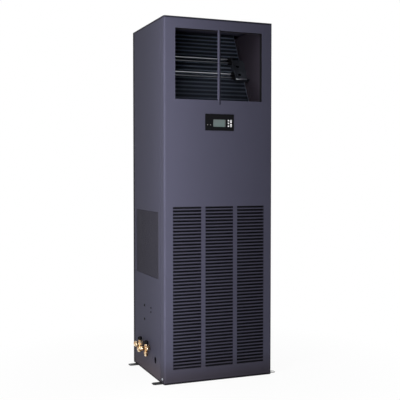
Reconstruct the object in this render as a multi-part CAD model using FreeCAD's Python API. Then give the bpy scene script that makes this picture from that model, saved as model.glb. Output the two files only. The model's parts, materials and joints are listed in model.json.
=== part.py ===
# Floor-standing precision air conditioner: front return below, front discharge above.
# Millimetres. The origin is on the floor, at the centre of the four floor bolts.
# X runs to the right seen from the front, the front faces -Y and Z is up.
import FreeCAD, Part
import math
import os

# Cabinet shell
cabinet_width = 600.0
cabinet_depth = 530.0
cabinet_height = 1850.0
sheet = 1.5
front_flange = 20.0
rear_wrap = 29.0
panel_seam = 1.0
tray_rim = 40.0
top_rim = 18.0
post_leg = 30.0
post_wall = 2.0
rail_height = 30.0

# Foot brackets
foot_plate = 4.0
foot_reach = 45.0
foot_hold = 45.0
foot_width = 40.0
foot_inset = 55.0
foot_corner = 8.0
foot_slot_width = 10.0
foot_slot_length = 20.0
foot_slot_reach = 22.0

# Door
door_depth = 55.0
door_gap = 7.0
door_corner = 10.0
opening_margin = 60.0
opening_drop = 56.5
opening_height = 354.0
opening_return = 25.0
opening_lip = 14.0
mullion_width = 15.0
mullion_depth = 12.0
mullion_proud = 2.0
mullion_bevel = 5.5
mullion_tab = 18.0

# Return grille in the door, and the filter behind it
slot_columns = 3
slot_rows = 49
slot_pitch = 16.98
slot_height = 10.0
slot_side_margin = 46.5
slot_strip = 23.5
first_slot = 78.0
grille_border = 16.0
filter_depth = 20.0
filter_border = 14.0
filter_inset = 6.0
pleat_pitch = 40.0
pleat_wall = 1.6

# Door hinge
hinge_inset = 7.0
hinge_back = 3.0
hinge_rise = 10.0
hinge_plate = 4.0
hinge_pin_radius = 3.0
hinge_pin_length = 20.0
hinge_hub_radius = 5.0
hinge_arm_width = 14.0
hinge_foot_width = 28.0
hinge_foot_height = 28.0
hinge_block_width = 13.5
hinge_block_depth = 13.0
running_clearance = 0.05
face_clearance = 0.3

# Door locks on the right return
lock_rise = 420.0
lock_drop = 430.0
lock_back = 22.0
lock_barrel_radius = 8.0
lock_head_radius = 11.0
lock_head_height = 3.5
lock_slot_width = 2.0
lock_slot_depth = 1.4
lock_clearance = 0.1
hook_plate = 5.0
hook_inset = 16.0
hook_hub_radius = 10.0
hook_finger = 5.0
hook_span = 70.0
hook_arm_span = 20.0
hook_steps = 4
keeper_reach = 16.0
keeper_radius = 3.0
keeper_plate = 3.0
keeper_gap = 6.0
keeper_height = 44.0

# Display unit in the door
display_width = 158.0
display_height = 84.0
display_centre_drop = 523.0
display_corner = 4.0
display_face = 2.5
display_skirt_margin = 4.0
display_skirt_wall = 1.5
display_skirt_depth = 27.0
screen_width = 68.0
screen_height = 37.0
screen_x = -1.0
screen_rise = -4.0
screen_frame = 4.0
screen_module_depth = 8.0
screen_recess = 0.8
board_thickness = 1.6
key_columns = (50.0, 64.0)
key_rise = -4.0
key_pitch = 13.8
key_width = 8.5
key_height = 8.0
tall_key_rise = 10.3
tall_key_height = 16.5
key_corner = 1.5
key_proud = 1.2
key_travel = 1.0
key_clearance = 0.25
key_flange = 1.0
switch_side = 6.0
switch_height = 3.5
lamp_xs = (-66.0, -50.0)
lamp_rise = -13.0
lamp_radius = 2.5
lamp_proud = 0.6

# Discharge collar on the cabinet, with its seal
collar_room = 5.0
collar_border = 30.0
gasket_depth = 5.0
gasket_width = 12.0

# Cooling coil, leaning back, with its drain pan
coil_tilt = 27.8
coil_foot_back = 41.0
coil_foot_drop = 90.5
tube_pitch = 25.4
tube_count = 21
tube_radius = 4.76
row_pitch = 22.0
row_count = 3
return_bend_sides = 5
fin_pitch = 54.0
fin_thickness = 3.0
fin_groove = 4.0
coil_side_room = 57.0
coil_flange = 14.0
pan_front = 5.0
pan_rear = 22.0
pan_drop = 50.0
pan_height = 35.0
spout_radius = 10.0
spout_length = 25.0

# Electric heaters in front of the coil
heater_along = (250.0, 346.0)
heater_leg_pitch = 22.0
heater_radius = 5.5
heater_standoff = 30.0
heater_left = 195.0
heater_right = 172.0
heater_run = 5.0
heater_tail = 6.0
bracket_margin = 12.0
bracket_front = 43.0
bracket_stand = 14.0
bracket_hole_radius = 9.5
bracket_hole_along = (281.0, 337.0)

# Blower, with the motor inside its wheel
deck_sheet = 2.0
wheel_radius = 125.0
wheel_inner_radius = 103.0
wheel_width = 220.0
wheel_ring = 3.0
wheel_disc = 3.0
blade_count = 14
blade_lead = 9.0
blade_turn = 0.9
scroll_start = 26.0
scroll_step = 24.0
scroll_tongue = 85.0
scroll_side_gap = 10.0
scroll_turns = 4
scroll_corner = 0.5
scroll_back_room = 20.0
blower_drop = 210.0
inlet_lip = 14.0
inlet_clearance = 6.0
rotor_radius = 62.0
rotor_width = 90.0
rotor_step = 6.0
rotor_nose = 10.0
shaft_radius = 10.0
stator_radius = 45.0
stator_plate = 6.0
spider_gap = 1.0
spider_hub_radius = 25.0
spider_arm_turns = (90.0, 210.0, 330.0)
spider_arm_width = 16.0
spider_plate = 4.0
spider_stand = 14.0
spider_foot = 12.0

# Compressor and its rubber mounts
compressor_inset = 88.0
compressor_y = 90.0
compressor_radius = 78.0
compressor_height = 400.0
compressor_dome = 40.0
compressor_rim = 3.0
compressor_brow = 0.87
compressor_crown = 0.45
compressor_foot_height = 38.0
compressor_foot_plate = 5.0
compressor_foot_spread = 64.0
mount_radius = 16.0
mount_waist_radius = 11.0
port_rise = 290.0
port_length = 16.0

# Copper lines
suction_radius = 11.0
discharge_radius = 8.0
liquid_radius = 6.0
line_bend = 28.0
small_bend = 16.0
pipe_sides = 6
bend_steps = 2
gas_rise = 40.0
gas_rear_room = 60.0
gas_low_run = 75.0
gas_riser_inset = 65.0
header_outset = 32.0
header_row = 2.4
header_stubs = 4
drier_radius = 26.0
drier_length = 140.0
drier_rise = 100.0
drier_neck = 23.0
riser_inset = 35.0
feed_tube = 6
feed_bend = 9.0
expansion_drop = 96.0
expansion_height = 32.0
expansion_radius = 12.0
power_head_reach = 24.0
power_head_radius = 18.0
power_head_height = 6.0

# Service valves on the left side
valve_height = 144.0
liquid_valve_y = -18.0
gas_valve_y = 95.0
valve_hole_radius = 22.0
valve_plate_margin = 30.0
valve_plate_sheet = 2.5
valve_barrel_radius = 12.0
valve_reach = 17.0
valve_stem_length = 12.0
valve_stem_radius = 7.0
valve_tail = 16.0
valve_flange_flats = 27.0
valve_cap_length = 22.0
service_port_radius = 4.5
service_port_length = 26.0
service_cap_length = 12.0
service_cap_flats = 13.0
liquid_port_radius = 7.9
liquid_pipe_radius = 4.85
liquid_nut_flats = 22.0
gas_port_radius = 11.1
gas_pipe_radius = 8.0
gas_nut_flats = 29.0
flare_port_length = 30.0
flare_nut_length = 26.0
flare_nut_over = 12.0
thread_clearance = 0.1

# Openings in the left side
vent_front_margin = 27.5
vent_rear_margin = 26.0
vent_bottom = 524.0
vent_height = 345.0
vent_overlap = 10.0
vent_rows = 11
vent_bar = 6.0
cable_hole_y = -119.0
cable_hole_height = 99.0
cable_hole_radius = 17.5

# Electrical tray behind the middle of the door
tray_half_width = 230.0
tray_depth = 105.0
tray_height = 281.0
tray_room = 8.0
ear_width = 55.0
rail_strip_height = 35.0
rail_strip_depth = 7.5
rail_strip_rise = 70.0
breaker_width = 54.0
breaker_height = 90.0
breaker_depth = 62.0
breaker_x = -185.0
lever_slot_width = 16.0
lever_slot_height = 26.0
lever_slot_depth = 12.0
lever_clearance = 0.4
lever_hub_radius = 5.0
lever_axle_radius = 1.5
lever_length = 20.0
lever_thickness = 6.0
lever_rest_turn = -30.0
contactor_width = 48.0
contactor_height = 76.0
contactor_depth = 70.0
contactor_step = 16.0
contactor_xs = (-110.0, -55.0)
terminal_width = 150.0
terminal_height = 40.0
terminal_depth = 32.0
terminal_x = 90.0
terminal_ways = 10
terminal_barrier = 2.5
control_board_width = 210.0
control_board_height = 110.0
control_board_x = 95.0
control_board_stand = 8.0
control_board_drop = 14.0
control_board_edge = 14.0
stud_radius = 3.5
relay_count = 5
relay_width = 21.0
relay_height = 28.0
relay_depth = 14.0
plug_width = 28.0
plug_height = 14.0
plug_depth = 7.0

# Lengths below this count as nothing
nothing = 0.01

# Sides of the polygons that stand for small or hidden round bars
bar_sides = 8
wide_sides = 16
hex_sides = 6

# Planes and levels that the values above give
half_width = cabinet_width / 2
inner_half = half_width - sheet
y_front = -cabinet_depth / 2
y_rear = cabinet_depth / 2
y_skin = y_front + sheet
y_door_back = y_front + door_depth
y_body = y_door_back + door_gap
y_frame = y_body + sheet
y_post = y_frame + sheet
y_side_rear = y_rear - rear_wrap - panel_seam
z_base = foot_plate
z_floor = z_base + sheet
z_top = z_base + cabinet_height
z_roof = z_top - sheet
opening_half = half_width - opening_margin
z_opening_top = z_top - opening_drop
z_opening_bottom = z_opening_top - opening_height
y_return = y_front + opening_return
tilt = math.radians(coil_tilt)
coil_half = half_width - coil_side_room
cheek_inner = coil_half + coil_flange
coil_depth = row_pitch * row_count
coil_length = tube_pitch * tube_count
coil_foot_y = y_frame + coil_foot_back
coil_foot_z = z_opening_bottom - coil_foot_drop
z_pan = coil_foot_z - pan_drop
z_tray_top = z_pan - tray_room
z_tray_bottom = z_tray_top - tray_height
z_deck = z_tray_bottom - tray_room - deck_sheet
blower_z = z_deck - blower_drop
scroll_a_radius = wheel_radius + scroll_start
scroll_b_radius = scroll_a_radius + scroll_step
scroll_c_radius = scroll_b_radius + scroll_step
blower_y = y_rear - sheet - scroll_back_room - sheet - scroll_c_radius - scroll_step / 2
scroll_half = wheel_width / 2 + scroll_side_gap
inlet_radius = wheel_inner_radius - inlet_clearance
lock_heights = (z_base + lock_rise, z_top - lock_drop)
pivot_x = -half_width + hinge_inset
pivot_y = y_door_back - hinge_back
display_z = z_top - display_centre_drop
y_board = y_front + screen_module_depth
y_lock = y_door_back - lock_back
y_keeper = y_lock + keeper_reach
hook_x = half_width - hook_inset
hook_inner = keeper_reach + keeper_radius + 2 * face_clearance
compressor_x = half_width - compressor_inset
compressor_bottom = z_floor + compressor_foot_height
compressor_top = compressor_bottom + compressor_height
riser_x = -half_width + riser_inset
valve_x = -half_width - valve_reach
y_tray_front = y_post + post_wall + sheet
y_tray_back = y_tray_front + tray_depth
z_rail_strip = z_tray_bottom + rail_strip_rise


def vec(x, y, z):
    return FreeCAD.Vector(x, y, z)


def box(x0, x1, y0, y1, z0, z1):
    return Part.makeBox(x1 - x0, y1 - y0, z1 - z0, vec(x0, y0, z0))


def rod(start, direction, radius, length):
    return Part.makeCylinder(radius, length, vec(*start), vec(*direction))


def face(points):
    """A flat face with straight edges through the points."""
    return Part.Face(Part.makePolygon([vec(*p) for p in points + points[:1]]))


def along_x(outline, x0, x1):
    """The (y, z) outline drawn out from x0 to x1."""
    return face([(x0, y, z) for y, z in outline]).extrude(vec(x1 - x0, 0, 0))


def along_y(outline, y0, y1):
    """The (x, z) outline drawn out from y0 to y1."""
    return face([(x, y0, z) for x, z in outline]).extrude(vec(0, y1 - y0, 0))


def along_z(outline, z0, z1):
    """The (x, y) outline drawn out from z0 to z1."""
    return face([(x, y, z0) for x, y in outline]).extrude(vec(0, 0, z1 - z0))


def joined(shapes):
    return shapes[0].multiFuse(shapes[1:]).removeSplitter()


def group(shapes):
    """Separate solids that share a name."""
    return Part.makeCompound(shapes)


def mirrored(shape):
    """The same shape on the other side of the middle plane."""
    return shape.mirror(vec(0, 0, 0), vec(1, 0, 0))


def upside_down(shape):
    """The same shape seen in the cabinet's middle height."""
    return shape.mirror(vec(0, 0, (z_base + z_top) / 2), vec(0, 0, 1))


def chamfered_plate(x0, x1, y0, y1, z0, z1, cut):
    """A plate seen along Y whose four corners are cut off."""
    outline = [(x0 + cut, z0), (x1 - cut, z0), (x1, z0 + cut), (x1, z1 - cut)]
    outline += [(x1 - cut, z1), (x0 + cut, z1), (x0, z1 - cut), (x0, z0 + cut)]
    return along_y(outline, y0, y1)


def ring(centre, direction, radius, sides):
    """The corners of an equal-sided polygon about a point, square to a direction."""
    axis = vec(*direction).normalize()
    side = vec(1, 0, 0) if abs(axis.z) > abs(axis.y) else axis.cross(vec(0, 0, 1)).normalize()
    other = axis.cross(side)
    turns = [2 * math.pi * (i + 0.5) / sides for i in range(sides)]
    return [vec(*centre) + side * (radius * math.cos(a)) + other * (radius * math.sin(a)) for a in turns]


def skin(rings):
    """A closed solid of flat faces through rings that have equally many corners."""
    loops = [rings[0], rings[-1]]
    for lower, upper in zip(rings, rings[1:]):
        loops += [[lower[i - 1], lower[i], upper[i], upper[i - 1]] for i in range(len(lower))]
    shell = Part.Shell([Part.Face(Part.makePolygon(loop + loop[:1])) for loop in loops])
    solid = Part.Solid(shell)
    return solid if solid.Volume > 0 else solid.reversed()


def bar(start, direction, radius, length, sides):
    """A straight bar with an equal-sided section."""
    corners = ring(start, direction, radius, sides)
    return Part.Face(Part.makePolygon(corners + corners[:1])).extrude(vec(*direction).normalize() * length)


def hex_prism(start, direction, flats, length):
    """A hexagonal bar that is given by the distance across its flats."""
    return bar(start, direction, flats / math.sqrt(3), length, hex_sides)


def bent_path(points, bend):
    """The corners of a route whose turns are rounded in a few equal steps."""
    corners = [vec(*p) for p in points]
    path = [corners[0]]
    for before, corner, after in zip(corners, corners[1:], corners[2:]):
        back = (before - corner).normalize()
        ahead = (after - corner).normalize()
        half_turn = (math.pi - back.getAngle(ahead)) / 2
        middle = corner + (back + ahead).normalize() * (bend / math.cos(half_turn))
        out = corner + back * (bend * math.tan(half_turn)) - middle
        sweep = (corner + ahead * (bend * math.tan(half_turn)) - middle) - out * math.cos(2 * half_turn)
        sweep = sweep * (1 / math.sin(2 * half_turn))
        for step in range(bend_steps + 1):
            turn = 2 * half_turn * step / bend_steps
            spot = middle + out * math.cos(turn) + sweep * math.sin(turn)
            if (spot - path[-1]).Length > nothing:
                path.append(spot)
    if (corners[-1] - path[-1]).Length > nothing:
        path.append(corners[-1])
    return path


def pipe(points, radius, bend, sides):
    """A bar with an equal-sided section along a route with rounded turns."""
    path = bent_path(points, bend)
    ways = [(b - a).normalize() for a, b in zip(path, path[1:])]
    first = vec(*points[1]) - vec(*points[0])
    last = vec(*points[-1]) - vec(*points[-2])
    squares = [first] + [a + b for a, b in zip(ways, ways[1:])] + [last]
    loops = [ring(tuple(path[0]), tuple(ways[0]), radius, sides)]
    for spot, way, across in zip(path, ways[:1] + ways, squares):
        loops.append([p + way * ((spot - p).dot(across) / way.dot(across)) for p in loops[-1]])
    return skin(loops[1:])


def on_coil(shape):
    """Moves a shape from the coil's own axes (depth along Y, length along Z) to its leaning place."""
    shape.rotate(vec(0, 0, 0), vec(1, 0, 0), -coil_tilt)
    shape.translate(vec(0, coil_foot_y, coil_foot_z))
    return shape


def coil_point(x, depth, along):
    """Where a point given in the coil's own axes lies in the cabinet."""
    y = coil_foot_y + depth * math.cos(tilt) + along * math.sin(tilt)
    z = coil_foot_z - depth * math.sin(tilt) + along * math.cos(tilt)
    return (x, y, z)


# Cabinet

def base_tray():
    rim_top = z_base + tray_rim
    outer = box(-inner_half, inner_half, y_frame, y_rear - sheet, z_base, rim_top)
    inside = inner_half - sheet
    return outer.cut(box(-inside, inside, y_post, y_rear - 2 * sheet, z_floor, rim_top))


def foot_bracket(y):
    """A flat plate under the cabinet's right edge, with a slot outside for a floor bolt."""
    tip = half_width + foot_reach
    hold = half_width - foot_hold
    low = y - foot_width / 2
    high = y + foot_width / 2
    outline = [(hold, low), (tip - foot_corner, low), (tip, low + foot_corner)]
    outline += [(tip, high - foot_corner), (tip - foot_corner, high), (hold, high)]
    plate = along_z(outline, 0, foot_plate)
    middle = half_width + foot_slot_reach
    run = (foot_slot_length - foot_slot_width) / 2
    radius = foot_slot_width / 2
    slot = box(middle - run, middle + run, y - radius, y + radius, 0, foot_plate)
    ends = [rod((middle + side * run, y, 0), (0, 0, 1), radius, foot_plate) for side in (-1, 1)]
    return plate.cut(joined([slot] + ends))


def foot_brackets():
    right = [foot_bracket(side * (cabinet_depth / 2 - foot_inset)) for side in (-1, 1)]
    return group(right + [mirrored(bracket) for bracket in right])


def side_sheet():
    """The left side's sheet with its front flange turned in."""
    flange_end = -half_width + front_flange
    outline = [(-half_width, y_body), (flange_end, y_body), (flange_end, y_frame)]
    outline += [(-inner_half, y_frame), (-inner_half, y_side_rear), (-half_width, y_side_rear)]
    return along_z(outline, z_base, z_roof)


def vent_edges():
    return y_body + vent_front_margin, y_side_rear - vent_rear_margin


def left_panel():
    y0, y1 = vent_edges()
    z0 = z_base + vent_bottom
    cuts = [box(-half_width, -inner_half, y0, y1, z0, z0 + vent_height)]
    for y in (liquid_valve_y, gas_valve_y):
        place = (-half_width, y, valve_height)
        cuts.append(bar(place, (1, 0, 0), valve_hole_radius, sheet, wide_sides))
    cuts.append(rod((-half_width, cable_hole_y, cable_hole_height), (1, 0, 0), cable_hole_radius, sheet))
    return side_sheet().cut(group(cuts))


def side_vent_screen():
    """The slotted screen on the inside of the left vent."""
    y0, y1 = vent_edges()
    z0 = z_base + vent_bottom
    z1 = z0 + vent_height
    edge = vent_overlap
    plate = box(-inner_half, -inner_half + sheet, y0 - edge, y1 + edge, z0 - edge, z1 + edge)
    pitch = (vent_height - vent_bar) / vent_rows
    slots = []
    for row in range(vent_rows):
        low = z0 + vent_bar + row * pitch
        high = low + pitch - vent_bar
        slots.append(box(-inner_half, -inner_half + sheet, y0 + vent_bar, y1 - vent_bar, low, high))
    return plate.cut(group(slots))


def rear_panel():
    wrap = y_side_rear + panel_seam
    back = y_rear - sheet
    outline = [(-half_width, wrap), (-half_width, y_rear), (half_width, y_rear), (half_width, wrap)]
    outline += [(inner_half, wrap), (inner_half, back), (-inner_half, back), (-inner_half, wrap)]
    return along_z(outline, z_base, z_roof)


def top_panel():
    roof = box(-half_width, half_width, y_body, y_rear, z_roof, z_top)
    rim = box(-inner_half, inner_half, y_frame, y_rear - sheet, z_roof - top_rim, z_roof)
    inside = inner_half - sheet
    rim = rim.cut(box(-inside, inside, y_post, y_rear - 2 * sheet, z_roof - top_rim, z_roof))
    return joined([roof, rim])


def post(y_outer, inward):
    """A right-hand corner post of angle section; inward is +1 at the front and -1 at the rear."""
    x = inner_half - sheet
    outline = [(x, y_outer), (x - post_leg, y_outer), (x - post_leg, y_outer + inward * post_wall)]
    outline += [(x - post_wall, y_outer + inward * post_wall)]
    outline += [(x - post_wall, y_outer + inward * post_leg), (x, y_outer + inward * post_leg)]
    return along_z(outline, z_floor, z_roof)


def cabinet_frame():
    """Four corner posts, and the rails that carry the fan deck."""
    y_back = y_rear - 2 * sheet
    right = [post(y_post, 1), post(y_back, -1)]
    span = inner_half - sheet - post_leg
    front = box(-span, span, y_post, y_post + post_wall, z_deck - rail_height, z_deck)
    back = box(-span, span, y_back - post_wall, y_back, z_deck - rail_height, z_deck)
    return group(right + [mirrored(p) for p in right] + [front, back])


# Door

def door_shell():
    outer = box(-half_width, half_width, y_front, y_door_back, z_base, z_top)
    edges = [e for e in outer.Edges if all(abs(v.Y - y_front) < nothing for v in e.Vertexes)]
    edges = [e for e in edges if abs(e.Vertexes[0].Z - e.Vertexes[-1].Z) > cabinet_height / 2]
    outer = outer.makeFillet(door_corner, edges)
    inner = box(-inner_half, inner_half, y_skin, y_door_back + sheet, z_floor, z_roof)
    edges = [e for e in inner.Edges if all(abs(v.Y - y_skin) < nothing for v in e.Vertexes)]
    edges = [e for e in edges if abs(e.Vertexes[0].Z - e.Vertexes[-1].Z) > cabinet_height / 2]
    return outer.cut(inner.makeFillet(door_corner - sheet, edges))


def opening_block(grow, y0, y1):
    """The discharge opening's outline, grown by a margin, from y0 to y1."""
    wide = opening_half + grow
    return box(-wide, wide, y0, y1, z_opening_bottom - grow, z_opening_top + grow)


def opening_frame():
    """The turned-in edge of the discharge opening, with a lip that meets the seal."""
    wall = opening_block(sheet, y_front, y_return)
    lip = opening_block(sheet + opening_lip, y_return - sheet, y_return)
    return joined([wall, lip]).cut(opening_block(0, y_front, y_return))


def grille_limits():
    """Half width and the lower and upper edge of the slotted panel."""
    low = z_base + first_slot
    high = low + (slot_rows - 1) * slot_pitch
    edge = slot_height / 2 + grille_border
    return half_width - slot_side_margin + grille_border, low - edge, high + edge


def front_door():
    half, low, high = grille_limits()
    cuts = [opening_block(0, y_front, y_skin), box(-half, half, y_front, y_skin, low, high)]
    cuts.append(display_block(display_skirt_margin, y_front, y_skin))
    for height in lock_heights:
        hole = lock_barrel_radius + lock_clearance
        cuts.append(rod((inner_half, y_lock, height), (1, 0, 0), hole, sheet))
    return joined([door_shell().cut(group(cuts)), opening_frame()])


def return_grille():
    half, low, high = grille_limits()
    plate = box(-half, half, y_front, y_skin, low, high)
    wide = (cabinet_width - 2 * slot_side_margin - (slot_columns - 1) * slot_strip) / slot_columns
    slots = []
    for column in range(slot_columns):
        x = -half_width + slot_side_margin + column * (wide + slot_strip)
        for row in range(slot_rows):
            z = z_base + first_slot + row * slot_pitch - slot_height / 2
            slots.append(box(x, x + wide, y_front, y_skin, z, z + slot_height))
    return plate.cut(group(slots))


def mullion():
    """The bevelled upright bar of the discharge opening, with a tab over the edge below it."""
    half = mullion_width / 2
    flat = half - mullion_bevel
    step = flat + mullion_proud
    y0 = y_front - mullion_proud
    y1 = y0 + mullion_bevel
    y2 = y0 + mullion_depth
    outline = [(-flat, y0), (flat, y0), (half, y1), (half, y2), (-half, y2), (-half, y1)]
    upright = along_z(outline, z_opening_bottom, z_opening_top)
    outline = [(-flat, y0), (flat, y0), (step, y_front), (-step, y_front)]
    return joined([upright, along_z(outline, z_opening_bottom - mullion_tab, z_opening_bottom)])


def air_filter():
    """A framed, pleated filter that lies against the back of the slotted panel."""
    half, low, high = grille_limits()
    half -= filter_inset
    low += filter_inset
    high -= filter_inset
    back = y_skin + filter_depth
    frame = box(-half, half, y_skin, back, low, high)
    clear = half - filter_border
    frame = frame.cut(box(-clear, clear, y_skin, back, low + filter_border, high - filter_border))
    folds = int(2 * clear / pleat_pitch) * 2
    step = 2 * clear / folds
    crests = [(-clear + i * step, i % 2) for i in range(folds + 1)]
    swing = filter_depth - pleat_wall
    front = [(x, y_skin + crest * swing) for x, crest in crests]
    rear = [(x, y + pleat_wall) for x, y in reversed(front)]
    return group([frame, along_z(front + rear, low + filter_border, high - filter_border)])


def hinge_arm():
    """The lower hinge arm: a cranked plate with its foot on the cabinet and an upright pin."""
    z0 = z_base + hinge_rise
    z1 = z0 + hinge_plate
    foot_x = pivot_x + hinge_hub_radius + hinge_back
    hub = bar((pivot_x, pivot_y, z0), (0, 0, 1), hinge_hub_radius, hinge_plate, bar_sides)
    crank_end = foot_x + hinge_arm_width
    crank = box(pivot_x, crank_end, pivot_y - hinge_hub_radius, pivot_y + hinge_hub_radius / 2, z0, z1)
    reach = box(foot_x, crank_end, pivot_y, y_body, z0, z1)
    foot_top = z1 + hinge_foot_height / 2
    foot = box(foot_x, foot_x + hinge_foot_width, y_body - hinge_plate, y_body, z0, foot_top)
    pin = rod((pivot_x, pivot_y, z0), (0, 0, 1), hinge_pin_radius, hinge_plate + hinge_pin_length)
    return joined([hub, crank, reach, foot, pin])


def hinge_block():
    """The bored block inside the door that turns on the lower pin."""
    z0 = z_base + hinge_rise + hinge_plate + face_clearance
    x1 = -inner_half + hinge_block_width
    block = box(-inner_half, x1, y_door_back - hinge_block_depth, y_door_back, z0, z0 + hinge_pin_length)
    bore = rod((pivot_x, pivot_y, z0), (0, 0, 1), hinge_pin_radius + running_clearance, hinge_pin_length)
    return block.cut(bore)


def hinge_arms():
    return group([hinge_arm(), upside_down(hinge_arm())])


def hinge_blocks():
    return group([hinge_block(), upside_down(hinge_block())])


def lock_arc(radius, start, end):
    """Corners on an arc in the lock's turning plane, with angles counted from +Y towards +Z."""
    turns = [math.radians(start + (end - start) * i / hook_steps) for i in range(hook_steps + 1)]
    return [(y_lock + radius * math.cos(a), radius * math.sin(a)) for a in turns]


def door_lock(height):
    """A slotted head, a barrel through the door's return, and a hook that hangs below the keeper."""
    start = -90 - hook_span / 2
    end = start + hook_span
    outer = hook_inner + hook_finger
    plane_x = hook_x - hook_plate
    outline = lock_arc(outer, start - hook_arm_span, end)
    outline += lock_arc(hook_inner, end, start)
    outline += lock_arc(hook_hub_radius, start, start - hook_arm_span)
    hook = along_x(outline, plane_x, hook_x)
    hub = bar((plane_x, y_lock, 0), (1, 0, 0), hook_hub_radius + face_clearance, hook_plate, bar_sides)
    head_x = half_width + face_clearance
    barrel = rod((plane_x, y_lock, 0), (1, 0, 0), lock_barrel_radius, head_x - plane_x)
    head = bar((head_x, y_lock, 0), (1, 0, 0), lock_head_radius, lock_head_height, bar_sides)
    top = head_x + lock_head_height
    half = lock_slot_width / 2
    reach = lock_head_radius
    slot = box(top - lock_slot_depth, top, y_lock - reach, y_lock + reach, -half, half)
    lock = joined([hook, hub, barrel, head.cut(slot)])
    lock.translate(vec(0, 0, height))
    return lock


def lock_keeper(height):
    """A bracket on the right front flange whose pin the hook turns behind."""
    half = keeper_height / 2
    arm_x = hook_x - hook_plate - keeper_gap - keeper_plate
    pin_end = hook_x + face_clearance
    base = box(arm_x, inner_half, y_body - keeper_plate, y_body, height - half, height + half)
    tip = y_keeper - 2 * keeper_radius
    arm = box(arm_x, arm_x + keeper_plate, tip, y_body, height - half / 2, height + half / 2)
    pin = bar((arm_x, y_keeper, height), (1, 0, 0), keeper_radius, pin_end - arm_x, bar_sides)
    return joined([base, arm, pin])


def lock_keepers():
    return group([lock_keeper(height) for height in lock_heights])


# Display unit

def display_block(inset, y0, y1):
    """The display's outline, drawn in by a margin, from y0 to y1."""
    wide = display_width / 2 - inset
    tall = display_height / 2 - inset
    return box(-wide, wide, y0, y1, display_z - tall, display_z + tall)


def screen_block(grow, y0, y1):
    """The screen's outline, grown by a margin, from y0 to y1."""
    wide = screen_width / 2 + grow
    tall = screen_height / 2 + grow
    centre = display_z + screen_rise
    return box(screen_x - wide, screen_x + wide, y0, y1, centre - tall, centre + tall)


def key_block(x, z, height, grow, y0, y1):
    """A key's outline, grown by a margin, from y0 to y1."""
    wide = key_width / 2 + grow
    tall = height / 2 + grow
    return box(x - wide, x + wide, y0, y1, z - tall, z + tall)


def key_places():
    """The middle and the height of each key: three small ones, and two tall ones on their right."""
    middle = display_z + key_rise
    small = [(key_columns[0], middle + row * key_pitch, key_height) for row in (1, 0, -1)]
    tall = [(key_columns[1], middle + side * tall_key_rise, tall_key_height) for side in (1, -1)]
    return small + tall


def display_bezel():
    half = display_width / 2
    rise = display_height / 2
    y0 = y_front - display_face
    plate = chamfered_plate(-half, half, y0, y_front, display_z - rise, display_z + rise, display_corner)
    skirt_end = y_front + display_skirt_depth
    skirt = display_block(display_skirt_margin, y_front, skirt_end)
    hollow = display_block(display_skirt_margin + display_skirt_wall, y_front, skirt_end)
    cuts = [screen_block(0, y0, y_front)]
    cuts += [key_block(x, z, height, key_clearance, y0, y_front) for x, z, height in key_places()]
    for x in lamp_xs:
        cuts.append(bar((x, y0, display_z + lamp_rise), (0, 1, 0), lamp_radius, display_face, bar_sides))
    return joined([plate.cut(group(cuts)), skirt.cut(hollow)])


def lcd_screen():
    """The screen: a glass in the bezel's window on a wider module behind it."""
    glass = screen_block(0, y_front - display_face + screen_recess, y_front)
    return joined([glass, screen_block(screen_frame, y_front, y_board)])


def display_board():
    """The circuit board behind the screen, with a switch behind each key."""
    board = display_block(display_skirt_margin + display_skirt_wall, y_board, y_board + board_thickness)
    half = switch_side / 2
    switches = [
        box(x - half, x + half, y_board - switch_height, y_board, z - half, z + half)
        for x, z, _ in key_places()
    ]
    return joined([board] + switches)


def display_key(x, z, height):
    """A key cap with a flange that keeps it behind the bezel."""
    half = key_width / 2
    tall = height / 2
    y0 = y_front - display_face - key_proud
    y1 = y_board - switch_height - key_travel - face_clearance
    cap = chamfered_plate(x - half, x + half, y0, y1, z - tall, z + tall, key_corner)
    flange_y = y_front + face_clearance
    edge = 2 * key_clearance + key_flange / 2
    return joined([cap, key_block(x, z, height, edge, flange_y, flange_y + key_flange)])


def indicator_lamps():
    y0 = y_front - display_face - lamp_proud
    z = display_z + lamp_rise
    return group([bar((x, y0, z), (0, 1, 0), lamp_radius, y_board - y0, bar_sides) for x in lamp_xs])


# Discharge plenum

def discharge_collar():
    """A flanged frame on the cabinet that reaches forward to the door's opening."""
    inner = collar_room
    front = y_return + gasket_depth + face_clearance
    duct = opening_block(inner + sheet, front, y_frame)
    plate = opening_block(collar_border, y_frame, y_post)
    lip = opening_block(inner + gasket_width, front, front + sheet)
    return joined([duct, plate, lip]).cut(opening_block(inner, front, y_post))


def collar_gasket():
    """The foam ring between the collar and the door's opening."""
    y0 = y_return + face_clearance
    y1 = y0 + gasket_depth
    return opening_block(collar_room + gasket_width, y0, y1).cut(opening_block(collar_room, y0, y1))


def coil_front_y(z):
    """Where the coil's front face is at a height."""
    return coil_foot_y + (z - coil_foot_z) * math.tan(tilt)


def plenum_cheeks():
    """Side walls that close the space between the collar and the coil."""
    low = z_pan + pan_height
    high = z_roof - top_rim
    outline = [(y_post, low), (y_post, high), (coil_front_y(high), high)]
    outline += [(coil_foot_y, coil_foot_z), (coil_foot_y, low)]
    right = along_x(outline, cheek_inner, cheek_inner + sheet)
    return group([right, mirrored(right)])


def coil_fins():
    block = box(-coil_half, coil_half, 0, coil_depth, 0, coil_length)
    count = int(2 * coil_half / fin_pitch)
    step = 2 * coil_half / count
    grooves = []
    for i in range(count):
        x0 = -coil_half + i * step + fin_thickness / 2
        x1 = x0 + step - fin_thickness
        grooves.append(box(x0, x1, 0, fin_groove, 0, coil_length))
        grooves.append(box(x0, x1, coil_depth - fin_groove, coil_depth, 0, coil_length))
    return on_coil(block.cut(group(grooves)))


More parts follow.
